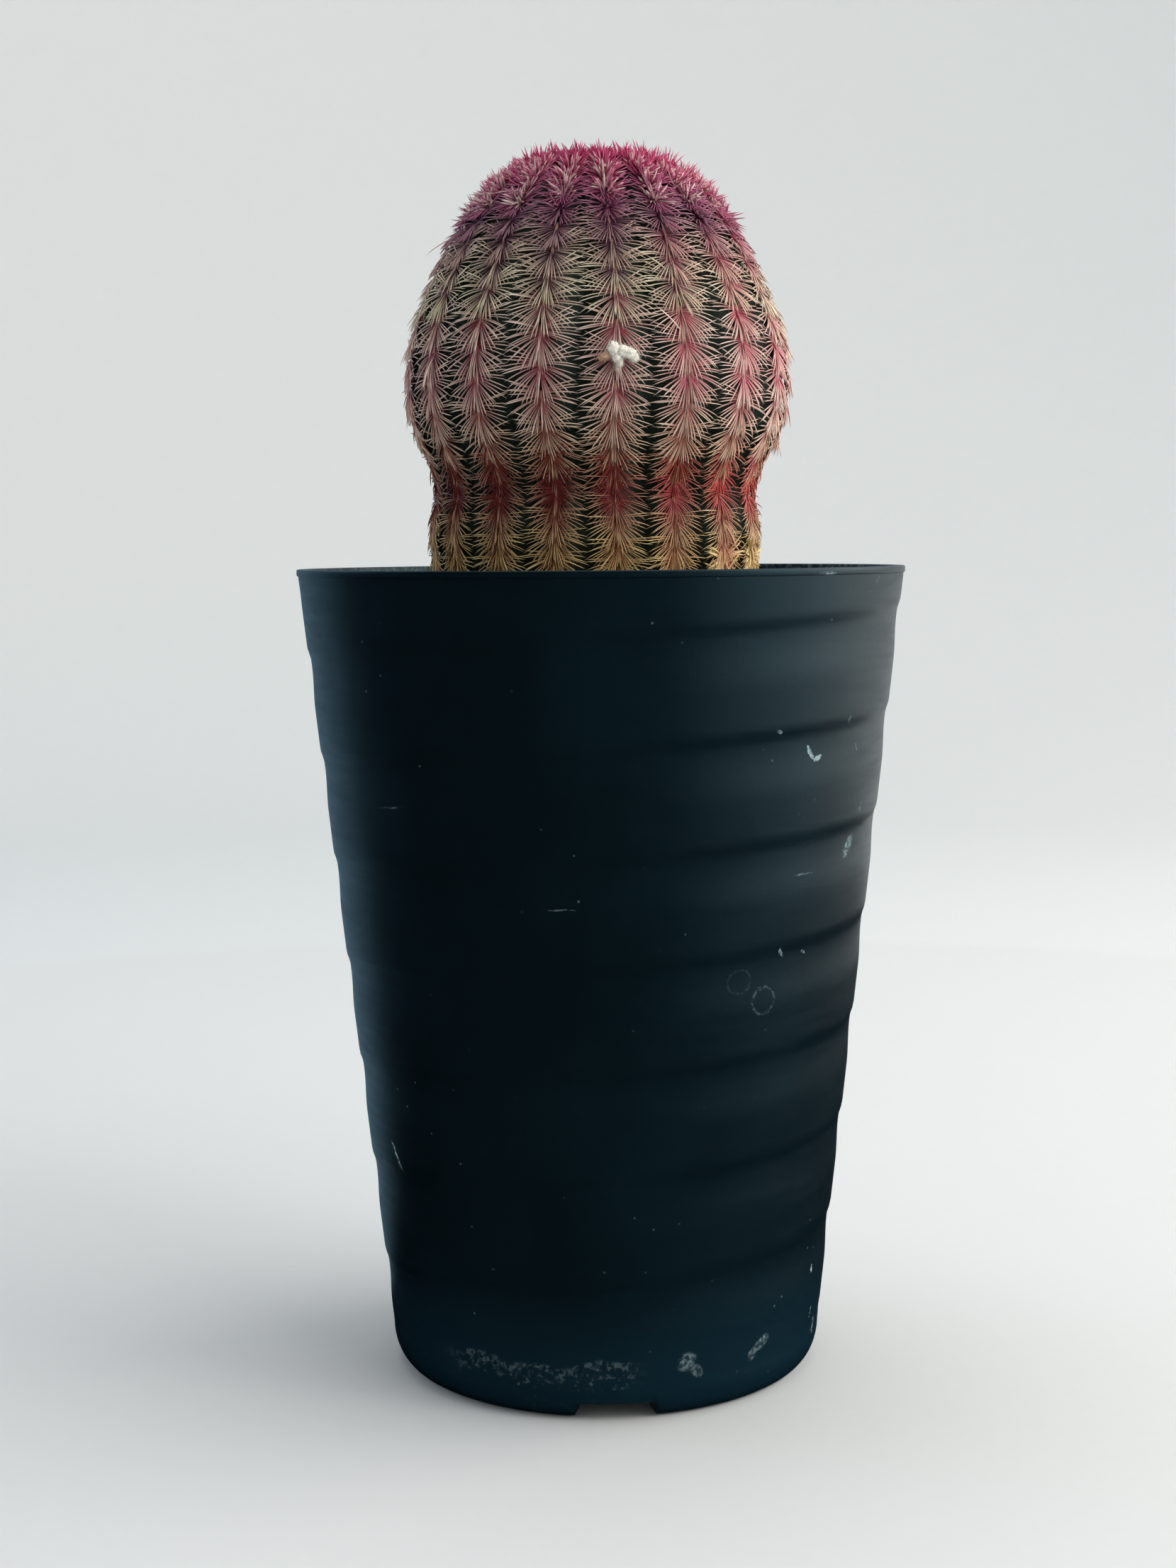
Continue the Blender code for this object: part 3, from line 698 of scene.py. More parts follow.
def add_piece(name, vertices, faces, material, attributes=()):
    """Makes a smooth mesh piece from its vertices and faces, with any named values on its vertices."""
    mesh = bpy.data.meshes.new(name)
    mesh.from_pydata(np.asarray(vertices).tolist(), [], [list(map(int, face)) for face in faces])
    mesh.materials.append(material)
    for label, values in dict(attributes).items():
        layer = mesh.attributes.new(label, "FLOAT", "POINT")
        layer.data.foreach_set("value", np.asarray(values, np.float32))
    mesh.shade_smooth()
    piece = bpy.data.objects.new(name, mesh)
    bpy.context.scene.collection.objects.link(piece)
    return piece


def bake_places(piece, places):
    """Lays the piece out for baking, from one place on the map for each vertex."""
    mesh = piece.data
    corners = np.empty(len(mesh.loops), np.int32)
    mesh.loops.foreach_get("vertex_index", corners)
    layer = mesh.uv_layers.new(name=BAKE_MAP)
    layer.data.foreach_set("uv", np.asarray(places, np.float32)[corners].ravel())


def face_outwards(piece):
    """Turns the faces of a closed piece outwards."""
    bm = bmesh.new()
    bm.from_mesh(piece.data)
    bmesh.ops.recalc_face_normals(bm, faces=bm.faces[:])
    bm.to_mesh(piece.data)
    bm.free()


def round_angles(sides):
    """Angles evenly round a full turn."""
    return np.arange(sides) * math.tau / sides


def circle(radius, angles, height):
    """Points round the vertical axis. The radius and the height may change from point to point."""
    radius, height = np.broadcast_to(radius, angles.shape), np.broadcast_to(height, angles.shape)
    return np.stack([radius * np.cos(angles), radius * np.sin(angles), height], axis=1)


def facing(angle):
    """The level directions across and out, at one angle round the stem."""
    return np.array([-math.sin(angle), math.cos(angle), 0]), np.array([math.cos(angle), math.sin(angle), 0])


def ring_faces(rows, sides):
    """The four-cornered faces between rings that follow each other in the vertex list."""
    faces = []
    for row in range(rows - 1):
        low, high = row * sides, (row + 1) * sides
        for i in range(sides):
            j = (i + 1) % sides
            faces.append((low + i, low + j, high + j, high + i))
    return faces


def closed_rings(rings, first_end, last_end):
    """Points and faces of rings that follow each other, drawn in to one point at each end."""
    sides = len(rings[0])
    points = np.concatenate([*rings, [first_end, last_end]])
    faces = ring_faces(len(rings), sides)
    last = (len(rings) - 1) * sides
    for i in range(sides):
        j = (i + 1) % sides
        faces.append((i, j, len(points) - 2))
        faces.append((last + i, last + j, len(points) - 1))
    return points, faces


def pebble_shape(subdivisions):
    """The corners and faces of a round pebble of radius 1."""
    bm = bmesh.new()
    bmesh.ops.create_icosphere(bm, subdivisions=subdivisions, radius=1)
    corners = np.array([vert.co for vert in bm.verts])
    faces = [[vert.index for vert in face.verts] for face in bm.faces]
    bm.free()
    return corners, faces


def lumpy(corners, depth, fineness, *place):
    """A round pebble's corners, pushed out and in by the noise at one place."""
    lumps = [1 + depth * noise.noise(Vector(corner) * fineness + Vector(place)) for corner in corners]
    return corners * np.array(lumps)[:, None]


def join_parts(parts):
    """Several sets of vertices and faces as one."""
    vertices, faces, first = [], [], 0
    for points, polygons in parts:
        vertices.append(points)
        faces += [[corner + first for corner in polygon] for polygon in polygons]
        first += len(points)
    return np.concatenate(vertices), faces


# Shapes of the pot.


def wall_radius(pot, height):
    """Outer radius of the plain tapering wall."""
    share = (height - CORNER_HEIGHT) / (pot.height - RIM_BAND - CORNER_HEIGHT)
    return WALL_FOOT_RADIUS + share * (pot.rim_radius - RIM_PROUD - WALL_FOOT_RADIUS)


def ripple(pot, angles, height):
    """How deep the winding groove is here: a crisp step at its top edge, then a slow run out below."""
    turns = (height - RIPPLE_HEIGHT_AT_RIGHT) / pot.ripple_pitch - angles / math.tau
    below_step = (np.ceil(turns) - turns) * pot.ripple_pitch
    groove = smooth_step(0, RIPPLE_STEP, below_step)
    groove *= 1 - smooth_step(RIPPLE_FLAT, RIPPLE_RUN_OUT, below_step)
    top = pot.height - RIM_BAND
    fade = smooth_step(CORNER_HEIGHT, CORNER_HEIGHT + RIPPLE_FADE, height)
    fade *= 1 - smooth_step(top - RIPPLE_FADE, top, height)
    return pot.ripple_depth * groove * fade


def waver(angles, height):
    """The faint unevenness of a thin wall that has cooled."""
    places = [Vector((math.cos(a), math.sin(a), 0)) * WALL_FOOT_RADIUS for a in angles]
    rise = Vector((0, 0, height))
    return WALL_WAVER * np.array([noise.noise((place + rise) / WALL_WAVER_SIZE) for place in places])


def foot_notch(angles):
    """How far the foot's edge is raised here, by the notches that let water out."""
    step = math.tau / NOTCH_COUNT
    aside = (angles - NOTCH_ANGLE + step / 2) % step - step / 2
    half = NOTCH_WIDTH / 2 / FOOT_RADIUS
    return NOTCH_HEIGHT * (1 - smooth_step(half, half + NOTCH_EDGE / FOOT_RADIUS, np.abs(aside)))


def foot_rings(angles):
    """Under the foot, across its notched edge and round the bottom corner."""
    notch = foot_notch(angles)
    mouth = notch * NOTCH_FLARE
    inner_foot = FOOT_RADIUS - FOOT_RING_WIDTH
    rings = [
        circle(inner_foot, angles, FLOOR_LIFT),
        circle(inner_foot, angles, notch + FOOT_BEVEL * (1 - notch / NOTCH_HEIGHT)),
        circle(inner_foot + FOOT_ROUNDING, angles, notch),
        circle(FOOT_RADIUS - FOOT_ROUNDING, angles, mouth),
    ]
    for turn in np.linspace(0, math.pi / 2, CORNER_ROWS + 1):
        height = mouth + CORNER_HEIGHT * (1 - math.cos(turn)) * (1 - mouth / CORNER_HEIGHT)
        across = np.sqrt(np.clip(1 - (1 - height / CORNER_HEIGHT) ** 2, 0, 1))
        rings.append(circle(FOOT_RADIUS + (WALL_FOOT_RADIUS - FOOT_RADIUS) * across, angles, height))
    return rings


def outer_rings(pot, angles):
    """Up the outside of the wall."""
    rings = []
    for height in np.linspace(CORNER_HEIGHT, pot.height - RIM_BAND, OUTER_ROWS)[1:]:
        radius = wall_radius(pot, height) - ripple(pot, angles, height) + waver(angles, height)
        rings.append(circle(radius, angles, height))
    return rings


def rim_rings(pot, angles):
    """Out to the rim band, up it and over the rim's two rounded edges."""
    top = pot.height - RIM_BAND
    outer, inner = pot.rim_radius, pot.rim_radius - RIM_PROUD - pot.wall
    rings = [circle(outer - RIM_PROUD * 0.2, angles, top + RIM_PROUD * 0.3)]
    rings.append(circle(outer, angles, top + RIM_PROUD))
    for edge, start in ((outer - RIM_ROUNDING, 0), (inner + RIM_ROUNDING, math.pi / 2)):
        for turn in np.linspace(start, start + math.pi / 2, RIM_STEPS + 1):
            height = pot.height - RIM_ROUNDING + RIM_ROUNDING * math.sin(turn)
            rings.append(circle(edge + RIM_ROUNDING * math.cos(turn), angles, height))
    return rings


def inner_rings(pot, angles):
    """Down the inside of the wall and round to the floor."""
    rings = []
    bottom = CORNER_HEIGHT + pot.wall
    for height in np.linspace(pot.height - RIM_BAND, bottom, INNER_ROWS):
        radius = wall_radius(pot, height) - ripple(pot, angles, height) - pot.wall
        rings.append(circle(radius, angles, height))
    last, drop = wall_radius(pot, bottom) - pot.wall, FLOOR_LIFT + FLOOR - bottom
    for turn in np.linspace(0, math.pi / 2, BOTTOM_STEPS + 1)[1:]:
        radius = FOOT_RADIUS + (last - FOOT_RADIUS) * math.cos(turn)
        rings.append(circle(radius, angles, bottom + drop * math.sin(turn)))
    return rings


def drained_floor(bm, outer, drains):
    """Fills the flat floor inside a ring of vertices, round its drain holes."""
    edges = []
    for loop in (outer, *drains):
        edges += [bm.edges.get(pair) or bm.edges.new(pair) for pair in pairwise([*loop, loop[0]])]
    bmesh.ops.triangle_fill(bm, use_beauty=True, edges=edges)


def drain_loops(bm, height):
    """The edges of the drain holes at one height: one in the middle and one between each two notches."""
    rise = Vector((0, 0, height))
    middles = [rise]
    for i in range(NOTCH_COUNT):
        out = facing(NOTCH_ANGLE + math.tau * (i + 0.5) / NOTCH_COUNT)[1]
        middles.append(Vector(out) * DRAIN_CIRCLE + rise)
    edge = [Vector(facing(turn)[1]) * DRAIN_RADIUS for turn in round_angles(DRAIN_SIDES)]
    return [[bm.verts.new(middle + place) for place in edge] for middle in middles]


def make_pot_piece(pot):
    """The pot in one piece: under the foot, up the outside, over the rim, down the inside and its floor."""
    angles = round_angles(POT_SIDES)
    outside = [*foot_rings(angles), *outer_rings(pot, angles)]
    rings = [*outside, *rim_rings(pot, angles), *inner_rings(pot, angles)]
    faces = ring_faces(len(rings), POT_SIDES)
    piece = add_piece("nursery_pot", np.concatenate(rings), faces, moulded_black_polyethylene(pot))
    bm = bmesh.new()
    bm.from_mesh(piece.data)
    verts = list(bm.verts)
    underside, topside = drain_loops(bm, FLOOR_LIFT), drain_loops(bm, FLOOR_LIFT + FLOOR)
    drained_floor(bm, verts[:POT_SIDES], underside)
    drained_floor(bm, verts[-POT_SIDES:], topside)
    for low, high in zip(underside, topside):
        for (a, b), (c, d) in zip(pairwise([*low, low[0]]), pairwise([*high, high[0]])):
            bm.faces.new((a, b, d, c))
    bm.to_mesh(piece.data)
    bm.free()
    face_outwards(piece)
    piece.data.shade_smooth()
    piece.data.set_sharp_from_angle(angle=SHARP_ANGLE)
    return piece


# Shapes of the potting mix.


def make_soil_piece(pot, soil):
    """The filled inside of the pot, with a crumbly top and the hole that the stem stands in."""
    angles = round_angles(SOIL_SIDES)
    floor, hole_floor = FLOOR_LIFT + FLOOR + SOIL_GAP, SOIL_TOP - STEM_HOLE_DEPTH
    corner = CORNER_HEIGHT + pot.wall + SOIL_GAP
    rings = [circle(FOOT_RADIUS - 2 * SOIL_GAP, angles, floor)]
    rings.append(circle(wall_radius(pot, corner) - pot.wall - 2 * SOIL_GAP, angles, corner))
    edge = wall_radius(pot, SOIL_TOP) - pot.wall - SOIL_GAP
    for share in np.linspace(0, 1, SOIL_ROWS):
        ring = circle(edge + (STEM_HOLE - edge) * share, angles, SOIL_TOP)
        ring[:, 0] += NECK_SHIFT * share
        crumbs = np.array([noise.turbulence(Vector(p) / CRUMB_SIZE, 3, False) for p in ring])
        ring[:, 2] += SOIL_RELIEF * (crumbs - 0.6)
        rings.append(ring)
    hole = circle(STEM_HOLE, angles, hole_floor)
    hole[:, 0] += NECK_SHIFT
    points, faces = closed_rings([*rings, hole], [0, 0, floor], [NECK_SHIFT, 0, hole_floor])
    piece = add_piece("potting_mix", points, faces, damp_potting_mix(soil))
    face_outwards(piece)
    return piece


def make_grains(pot, soil):
    """Loose grains of bark, pumice and perlite, pressed into the top of the mix."""
    random = Random(11)
    corners, faces = pebble_shape(2)
    edge = wall_radius(pot, SOIL_TOP) - pot.wall
    parts, tones = [], []
    for index in range(soil.grains):
        size = soil.grain_size * random.uniform(0.45, 1.0)
        size *= LARGE_GRAIN if random.random() < LARGE_GRAIN_SHARE else 1.0
        share = math.sqrt(random.random())
        radius = (STEM_HOLE + size) + (edge - STEM_HOLE - 2.6 * size) * share
        seat = facing(random.uniform(0, math.tau))[1] * radius + np.array([NECK_SHIFT, 0, SOIL_TOP])
        stretch = np.array([random.uniform(0.75, 1.3), random.uniform(0.6, 1.0), random.uniform(0.45, 0.9)])
        turn = random.uniform(0, math.tau)
        spin = Matrix.Rotation(turn, 3, Vector([random.gauss(0, 1) for _ in range(3)]))
        shape = (lumpy(corners, 0.35, 1.3, index, 0, 0) * stretch) @ np.array(spin.transposed()) * size
        low, high = shape[:, 2].min(), shape[:, 2].max()
        sunk = low + random.uniform(0.15, 0.55) * (high - low)
        parts.append((shape + seat - np.array([0, 0, sunk]), faces))
        tones += [random.random()] * len(corners)
    points, all_faces = join_parts(parts)
    return add_piece("loose_grains", points, all_faces, bark_and_pumice(), {"tone": tones})


# Shapes of the plant.


class Crest:
    """The smooth outline of the rib crests, read at any distance along it from the soil to the crown."""

    def __init__(self, points):
        ends = np.array([points[0], *points, points[-1]])
        curve = []
        for a, b, c, d in zip(ends, ends[1:], ends[2:], ends[3:]):
            for t in np.arange(OUTLINE_STEPS) / OUTLINE_STEPS:
                square, cube = 2 * a - 5 * b + 4 * c - d, 3 * b - 3 * c + d - a
                curve.append((2 * b + t * (c - a) + t * t * square + t**3 * cube) / 2)
        curve.append(ends[-1])
        self.heights, self.radii = np.array(curve).T
        steps = np.hypot(np.diff(self.heights), np.diff(self.radii))
        self.runs = np.concatenate([[0], np.cumsum(steps)])
        self.length = self.runs[-1]
        rise, widen = np.gradient(self.heights, self.runs), np.gradient(self.radii, self.runs)
        self.outward, self.upward = rise, -widen

    def at(self, distance):
        """Radius and height on the crest, and the two parts of its outward normal."""
        kept = (self.radii, self.heights, self.outward, self.upward)
        radius, height, outward, upward = (np.interp(distance, self.runs, values) for values in kept)
        size = np.hypot(outward, upward)
        return radius, height, outward / size, upward / size


CREST = Crest(STEM_OUTLINE)


def axis_shift(height):
    """The plant stands a little to the left of the pot's middle, and more so at its neck."""
    return NECK_SHIFT + (GLOBE_SHIFT - NECK_SHIFT) * smooth_step(NECK_TOP, GLOBE_START, height)


def rib_angle(rib, distance, ribs):
    """Where a rib's crest stands. It strays from side to side, and the neck is twisted to the right."""
    phase = Random(100 + rib % ribs).uniform(0, math.tau)
    radius, height = CREST.at(distance)[:2]
    wave = np.sin(math.tau * distance / MEANDER_LENGTH + phase)
    sway = RIB_MEANDER * wave * np.clip(radius / RIB_FULL_RADIUS, 0, 1)
    twist = NECK_TWIST * (1 - smooth_step(NECK_TOP, GLOBE_START, height))
    return FRONT_RIB_ANGLE + math.tau * rib / ribs + sway / radius + twist


def habit_at(height):
    """How spines grow at this height, between the two nearest habits."""
    columns = zip(*HABITS)
    heights = next(columns)
    return Habit(height, *(float(np.interp(height, heights, column)) for column in columns))


def areole_distances(rib):
    """Where the areoles stand along one rib's crest."""
    random = Random(200 + rib)
    distances = [random.uniform(0.4, 1.0) * HABITS[0].spacing * (1 if rib % 2 else 0.6)]
    while True:
        height = CREST.at(distances[-1])[1]
        step = habit_at(height).spacing * random.uniform(0.93, 1.07)
        if distances[-1] + step > CREST.length - 0.6 * MM:
            return distances
        distances.append(distances[-1] + step)


def stem_places(angle, distance, sunk):
    """Points of the stem's skin, sunk below the crest along the surface's normal."""
    radius, height, outward, upward = CREST.at(distance)
    radius, height = radius - outward * sunk, height - upward * sunk
    x = radius * np.cos(angle) + axis_shift(height)
    return np.stack(np.broadcast_arrays(x, radius * np.sin(angle), height), axis=-1)


def areole_at(rib, distance, ribs):
    """An areole's seat on its crest, with the directions across the rib, up along it and out of it."""
    angle = rib_angle(rib, distance, ribs)
    radius, height, outward, upward = CREST.at(distance)
    across, level = facing(angle)
    out = level * outward + np.array([0, 0, upward])
    middle = stem_places(angle, distance, -TUBERCLE_RISE * 0.7)
    size = min(1.0, 0.45 + 0.55 * float(radius) / RIB_FULL_RADIUS, habit_at(height).spacing / FULL_SPACING)
    return Areole(middle, across, np.cross(out, across), out, float(height), size)


def rib_lines(rib, distances, plant):
    """Lines up one rib: rounded at its crest, creased in its valleys and swollen under each areole."""
    ribs = plant.ribs
    fullness = np.clip(CREST.at(distances)[0] / RIB_FULL_RADIUS, 0, 1)
    own = rib_angle(rib, distances, ribs)
    seats = areole_distances(rib)
    swell = np.cos(math.tau * np.interp(distances, seats, np.arange(len(seats)))) * 0.5 + 0.5
    lines = []
    for column in np.arange(RIB_COLUMNS) / RIB_COLUMNS * 2 - 1:
        neighbour = rib_angle(rib + (1 if column > 0 else -1), distances, ribs)
        angle = own + (neighbour - own) * abs(column) / 2
        groove = 1 - math.cos(abs(column) * math.pi / 2)
        rise = TUBERCLE_RISE * swell * (1 - abs(column)) ** 0.7 * fullness
        lines.append(stem_places(angle, distances, plant.rib_depth * fullness * groove - rise))
    return lines


def make_stem(plant):
    """The ribbed stem, from the buried end of its root up to the growing point."""
    distances = np.linspace(0, CREST.length, STEM_ROWS)
    lines = [line for rib in range(plant.ribs) for line in rib_lines(rib, distances, plant)]
    rings = list(np.stack(lines, axis=1))
    start = round_angles(len(lines)) + FRONT_RIB_ANGLE - math.pi / plant.ribs
    for share, below in ROOT_RINGS:
        root = circle(BASE_RADIUS * share, start, SOIL_TOP - below)
        root[:, 0] += NECK_SHIFT
        rings.insert(0, root)
    root_end = [NECK_SHIFT, 0, SOIL_TOP - STEM_HOLE_DEPTH + SOIL_GAP]
    points, faces = closed_rings(rings, root_end, [GLOBE_SHIFT, 0, CROWN_MIDDLE])
    piece = add_piece("cactus_stem", points, faces, waxy_cactus_skin(plant))
    face_outwards(piece)
    return piece


def spine(areole, habit, side, turn, place, random, plant, **change):
    """One spine of an areole. place is where its root sits, from -1 at the areole's foot to 1 at its head."""
    size = areole.size
    root = areole.middle + areole.across * side * FELT_HALF_WIDTH * size * 0.5 + areole.out * FELT_RISE * 0.25
    reach = 1 - 0.24 * ((math.degrees(turn) + 12) / 75) ** 2
    girth = NECK_GIRTH + (1 - NECK_GIRTH) * float(smooth_step(NECK_TOP, GLOBE_START, areole.height))
    grown = Spine(
        root=root + areole.up * place * FELT_HALF_HEIGHT * size,
        across=areole.across,
        up=areole.up,
        out=areole.out,
        side=side,
        turn=turn,
        bend=math.radians(habit.bend * random.uniform(0.3, 1.6)) * math.cos(turn),
        lean=math.radians(habit.lean + random.gauss(0, 3)) - SPINE_LAYERING * turn,
        droop=math.radians(habit.droop + random.gauss(0, 5)),
        length=habit.length * random.uniform(0.88, 1.04) * reach,
        radius=plant.spine_radius * girth * random.uniform(0.85, 1.1) * (0.55 + 0.45 * size),
        growth=areole.height + random.gauss(0, 0.4 * MM),
        tone=random.uniform(0, 0.88),
    )
    return grown._replace(**change)


def comb(areole, random, plant):
    """The spines of one areole, in a row down each side, and a few that lie along the crest below it."""
    habit = habit_at(areole.height)
    top, bottom = math.radians(habit.top_turn), math.radians(BOTTOM_TURN)
    stray = {"length": habit.length * STRAY_LENGTH, "lean": STRAY_LEAN, "tone": STRAY_TONE}
    spines = []
    for side in (-1, 1):
        count = round(habit.count) + random.choice((-1, 0, 0, 1))
        for i in range(count):
            share = (i + random.uniform(-0.35, 0.35)) / (count - 1)
            turn = top + (bottom - top) * share
            strays = random.random() < STRAY_SHARE and areole.height > GLOBE_START
            change = stray if strays else {}
            spines.append(spine(areole, habit, side, turn, 1 - 2 * share, random, plant, **change))
    for i in range(CREST_SPINES):
        turn = math.radians(random.uniform(-98, -80))
        change = {"tone": random.uniform(0.0, 0.75), "length": habit.length * random.uniform(0.6, 0.85)}
        place = random.uniform(-0.9, 0.9)
        spines.append(spine(areole, habit, (-1, 1)[i % 2], turn, place, random, plant, **change))
    return spines


def bristles(areole, brush, random, plant):
    """A brush of upright bristles that stand out of an areole every way."""
    habit = habit_at(areole.height)
    upright = 14 * smooth_step(TUFT_START, CROWN_MIDDLE, areole.height)
    spines = []
    for _ in range(brush.count):
        turn = random.uniform(-math.pi / 2, math.pi / 2)
        change = {
            "lean": math.radians(random.uniform(18, 66) + upright),
            "droop": math.radians(random.uniform(-6, 14)),
            "bend": 0.0,
            "length": brush.length * random.uniform(0.7, 1.08),
            "radius": plant.spine_radius * brush.width * random.uniform(0.85, 1.1),
            "tone": random.uniform(*brush.tones),
        }
        side, place = random.choice((-1, 1)), random.uniform(-0.8, 0.8)
        spines.append(spine(areole, habit, side, turn, place, random, plant, **change))
    return spines


def matted_fan(areole, random, plant):
    """The broad spines of a matted areole, on both its sides."""
    habit = habit_at(areole.height)
    spines = []
    for _ in range(MATTED_SPINES):
        change = {
            "length": MATTED_LENGTH * random.uniform(0.8, 1.0),
            "radius": plant.spine_radius * random.uniform(1.4, 1.9),
            "lean": math.radians(random.uniform(14, 28)),
            "growth": BAND_LOW,
            "tone": random.uniform(0.6, 0.88),
        }
        for side in (-1, 1):
            turn, place = math.radians(random.uniform(-80, 60)), random.uniform(-0.6, 0.8)
            spines.append(spine(areole, habit, side, turn, place, random, plant, **change))
    return spines


def rib_spines(rib, plant):
    """All the spines of one rib."""
    random = Random(300 + rib)
    spines = []
    for distance in areole_distances(rib):
        areole = areole_at(rib, distance, plant.ribs)
        spines += comb(areole, random, plant)
        if TUFT_START < areole.height < TUFT_END:
            spines += bristles(areole, CREAM_BRUSH, random, plant)
        if areole.height > CROWN_START:
            away = math.hypot(areole.middle[0] - GLOBE_SHIFT, areole.middle[1])
            grown = CROWN_MIDDLE_SHARE + (1 - CROWN_MIDDLE_SHARE) * float(smooth_step(*CROWN_DIP, away))
            brush = CROWN_BRUSH._replace(length=CROWN_BRUSH.length * grown)
            spines += bristles(areole, brush, random, plant)
        angle = math.atan2(areole.middle[1], areole.middle[0])
        if areole.height < MATTED_HEIGHT and abs(angle - MATTED_ANGLE) < MATTED_HALF_ANGLE:
            spines += matted_fan(areole, random, plant)
    return spines


def apex_spines(plant):
    """The young bristles that close over the growing point, in the middle of the crown."""
    random = Random(600)
    top = np.array([GLOBE_SHIFT, 0, CROWN_MIDDLE - APEX_SINK])
    spines = []
    for _ in range(APEX_BUNCHES):
        angle, away = random.uniform(0, math.tau), math.sqrt(random.random())
        level = facing(angle)[1]
        out = level * APEX_TILT * away + np.array([0, 0, 1.0])
        out /= np.linalg.norm(out)
        across = np.cross(out, level)
        across /= np.linalg.norm(across)
        middle = level * APEX_RADIUS * away + top
        bunch = Areole(middle, across, np.cross(out, across), out, CROWN_MIDDLE, APEX_SIZE)
        spines += bristles(bunch, APEX_BRUSH, random, plant)
    return spines


def along_spines(spines):
    """The centre lines of many spines at once, each bending down and back towards the stem."""
    columns = {name: np.array([getattr(s, name) for s in spines]) for name in Spine._fields}
    middle = (np.arange(SPINE_STEPS) + 0.5) / SPINE_STEPS
    turn = columns["turn"][:, None] - columns["bend"][:, None] * middle
    lean = columns["lean"][:, None] - columns["droop"][:, None] * middle
    across = columns["across"][:, None] * (columns["side"][:, None] * np.cos(turn) * np.cos(lean))[..., None]
    up = columns["up"][:, None] * (np.sin(turn) * np.cos(lean))[..., None]
    out = columns["out"][:, None] * np.sin(lean)[..., None]
    steps = (across + up + out) * columns["length"][:, None, None] / SPINE_STEPS
    moved = np.concatenate([np.zeros_like(steps[:, :1]), np.cumsum(steps, axis=1)], axis=1)
    return columns, columns["root"][:, None] + moved, steps


def tubes(points, steps, radii, taper, sides, reference):
    """Tapered tubes round many centre lines, each closed to a point at its tip, as vertices and faces."""
    along = steps / np.linalg.norm(steps, axis=2, keepdims=True)
    first = np.cross(along, reference[:, None])
    first /= np.linalg.norm(first, axis=2, keepdims=True)
    second = np.cross(along, first)
    count, rings = along.shape[:2]
    turns = np.arange(sides) * math.tau / sides
    spread = first[:, :, None] * np.cos(turns)[:, None] + second[:, :, None] * np.sin(turns)[:, None]
    widths = radii[:, None] * np.array(taper)[None]
    body = points[:, :-1, None] + spread * widths[..., None, None]
    size = rings * sides + 1
    vertices = np.concatenate([body.reshape(count, rings * sides, 3), points[:, -1:]], axis=1).reshape(-1, 3)
    pattern = ring_faces(rings, sides)
    last = (rings - 1) * sides
    tips = [(last + i, last + (i + 1) % sides, size - 1) for i in range(sides)]
    base = np.arange(count)[:, None, None] * size
    faces = (np.array(pattern)[None] + base).reshape(-1, 4).tolist()
    faces += (np.array(tips)[None] + base).reshape(-1, 3).tolist()
    return vertices, faces


def least_aligned(columns, steps):
    """For each spine, whichever of its areole's directions it runs across the most."""
    along = steps[:, 0] / np.linalg.norm(steps[:, 0], axis=1, keepdims=True)
    choices = np.stack([columns["across"], columns["up"], columns["out"]], axis=1)
    alike = np.abs(np.einsum("nij,nj->ni", choices, along))
    return choices[np.arange(len(along)), alike.argmin(axis=1)]


def make_spine_piece(name, spines, material):
    """One piece that holds many spines, with each spine's band, tone and length for its colour."""
    columns, points, steps = along_spines(spines)
    aside = least_aligned(columns, steps)
    vertices, faces = tubes(points, steps, columns["radius"], SPINE_TAPER, SPINE_SIDES, aside)
    rings = np.repeat(np.arange(SPINE_STEPS) / SPINE_STEPS, SPINE_SIDES)
    along = np.tile([*rings, 1.0], len(spines))
    each = SPINE_STEPS * SPINE_SIDES + 1
    growth, tone = (np.repeat(values, each) for values in (grown_share(columns["growth"]), columns["tone"]))
    piece = add_piece(name, vertices, faces, material, {"along": along, "growth": growth, "tone": tone})
    cells = math.ceil(math.sqrt(len(spines)))
    index = np.repeat(np.arange(len(spines)), each)
    side = np.tile([*np.tile((0.1, 0.5, 0.9), SPINE_STEPS), 0.5], len(spines))
    u = (index % cells + 0.08 + 0.84 * along) / cells
    v = (index // cells + side) / cells
    bake_places(piece, np.stack([u, v], axis=1))
    return piece


def hairs(seats, normals, length, radius, random, steps=3, curl=0.5):
    """Fine crimped hairs that stand on the given places, as the arrays that tubes() takes."""
    count = len(seats)
    generator = np.random.default_rng(random.randrange(1 << 30))
    wander = generator.normal(0, curl, (count, steps, 3)).cumsum(axis=1)
    lean = generator.normal(0, 0.45, (count, 1, 3))
    direction = normals[:, None] + lean + wander
    direction /= np.linalg.norm(direction, axis=2, keepdims=True)
    lengths = length * generator.uniform(0.6, 1.2, (count, 1, 1))
    moves = direction * lengths / steps
    points = seats[:, None] + np.concatenate([np.zeros((count, 1, 3)), moves.cumsum(axis=1)], axis=1)
    taper = np.linspace(1.0, 0.6, steps)
    reference = np.where(np.abs(direction[:, 0, 2:3]) < 0.7, [[0, 0, 1.0]], [[1.0, 0, 0]])
    return tubes(points, moves, np.full(count, radius), taper, 3, reference)


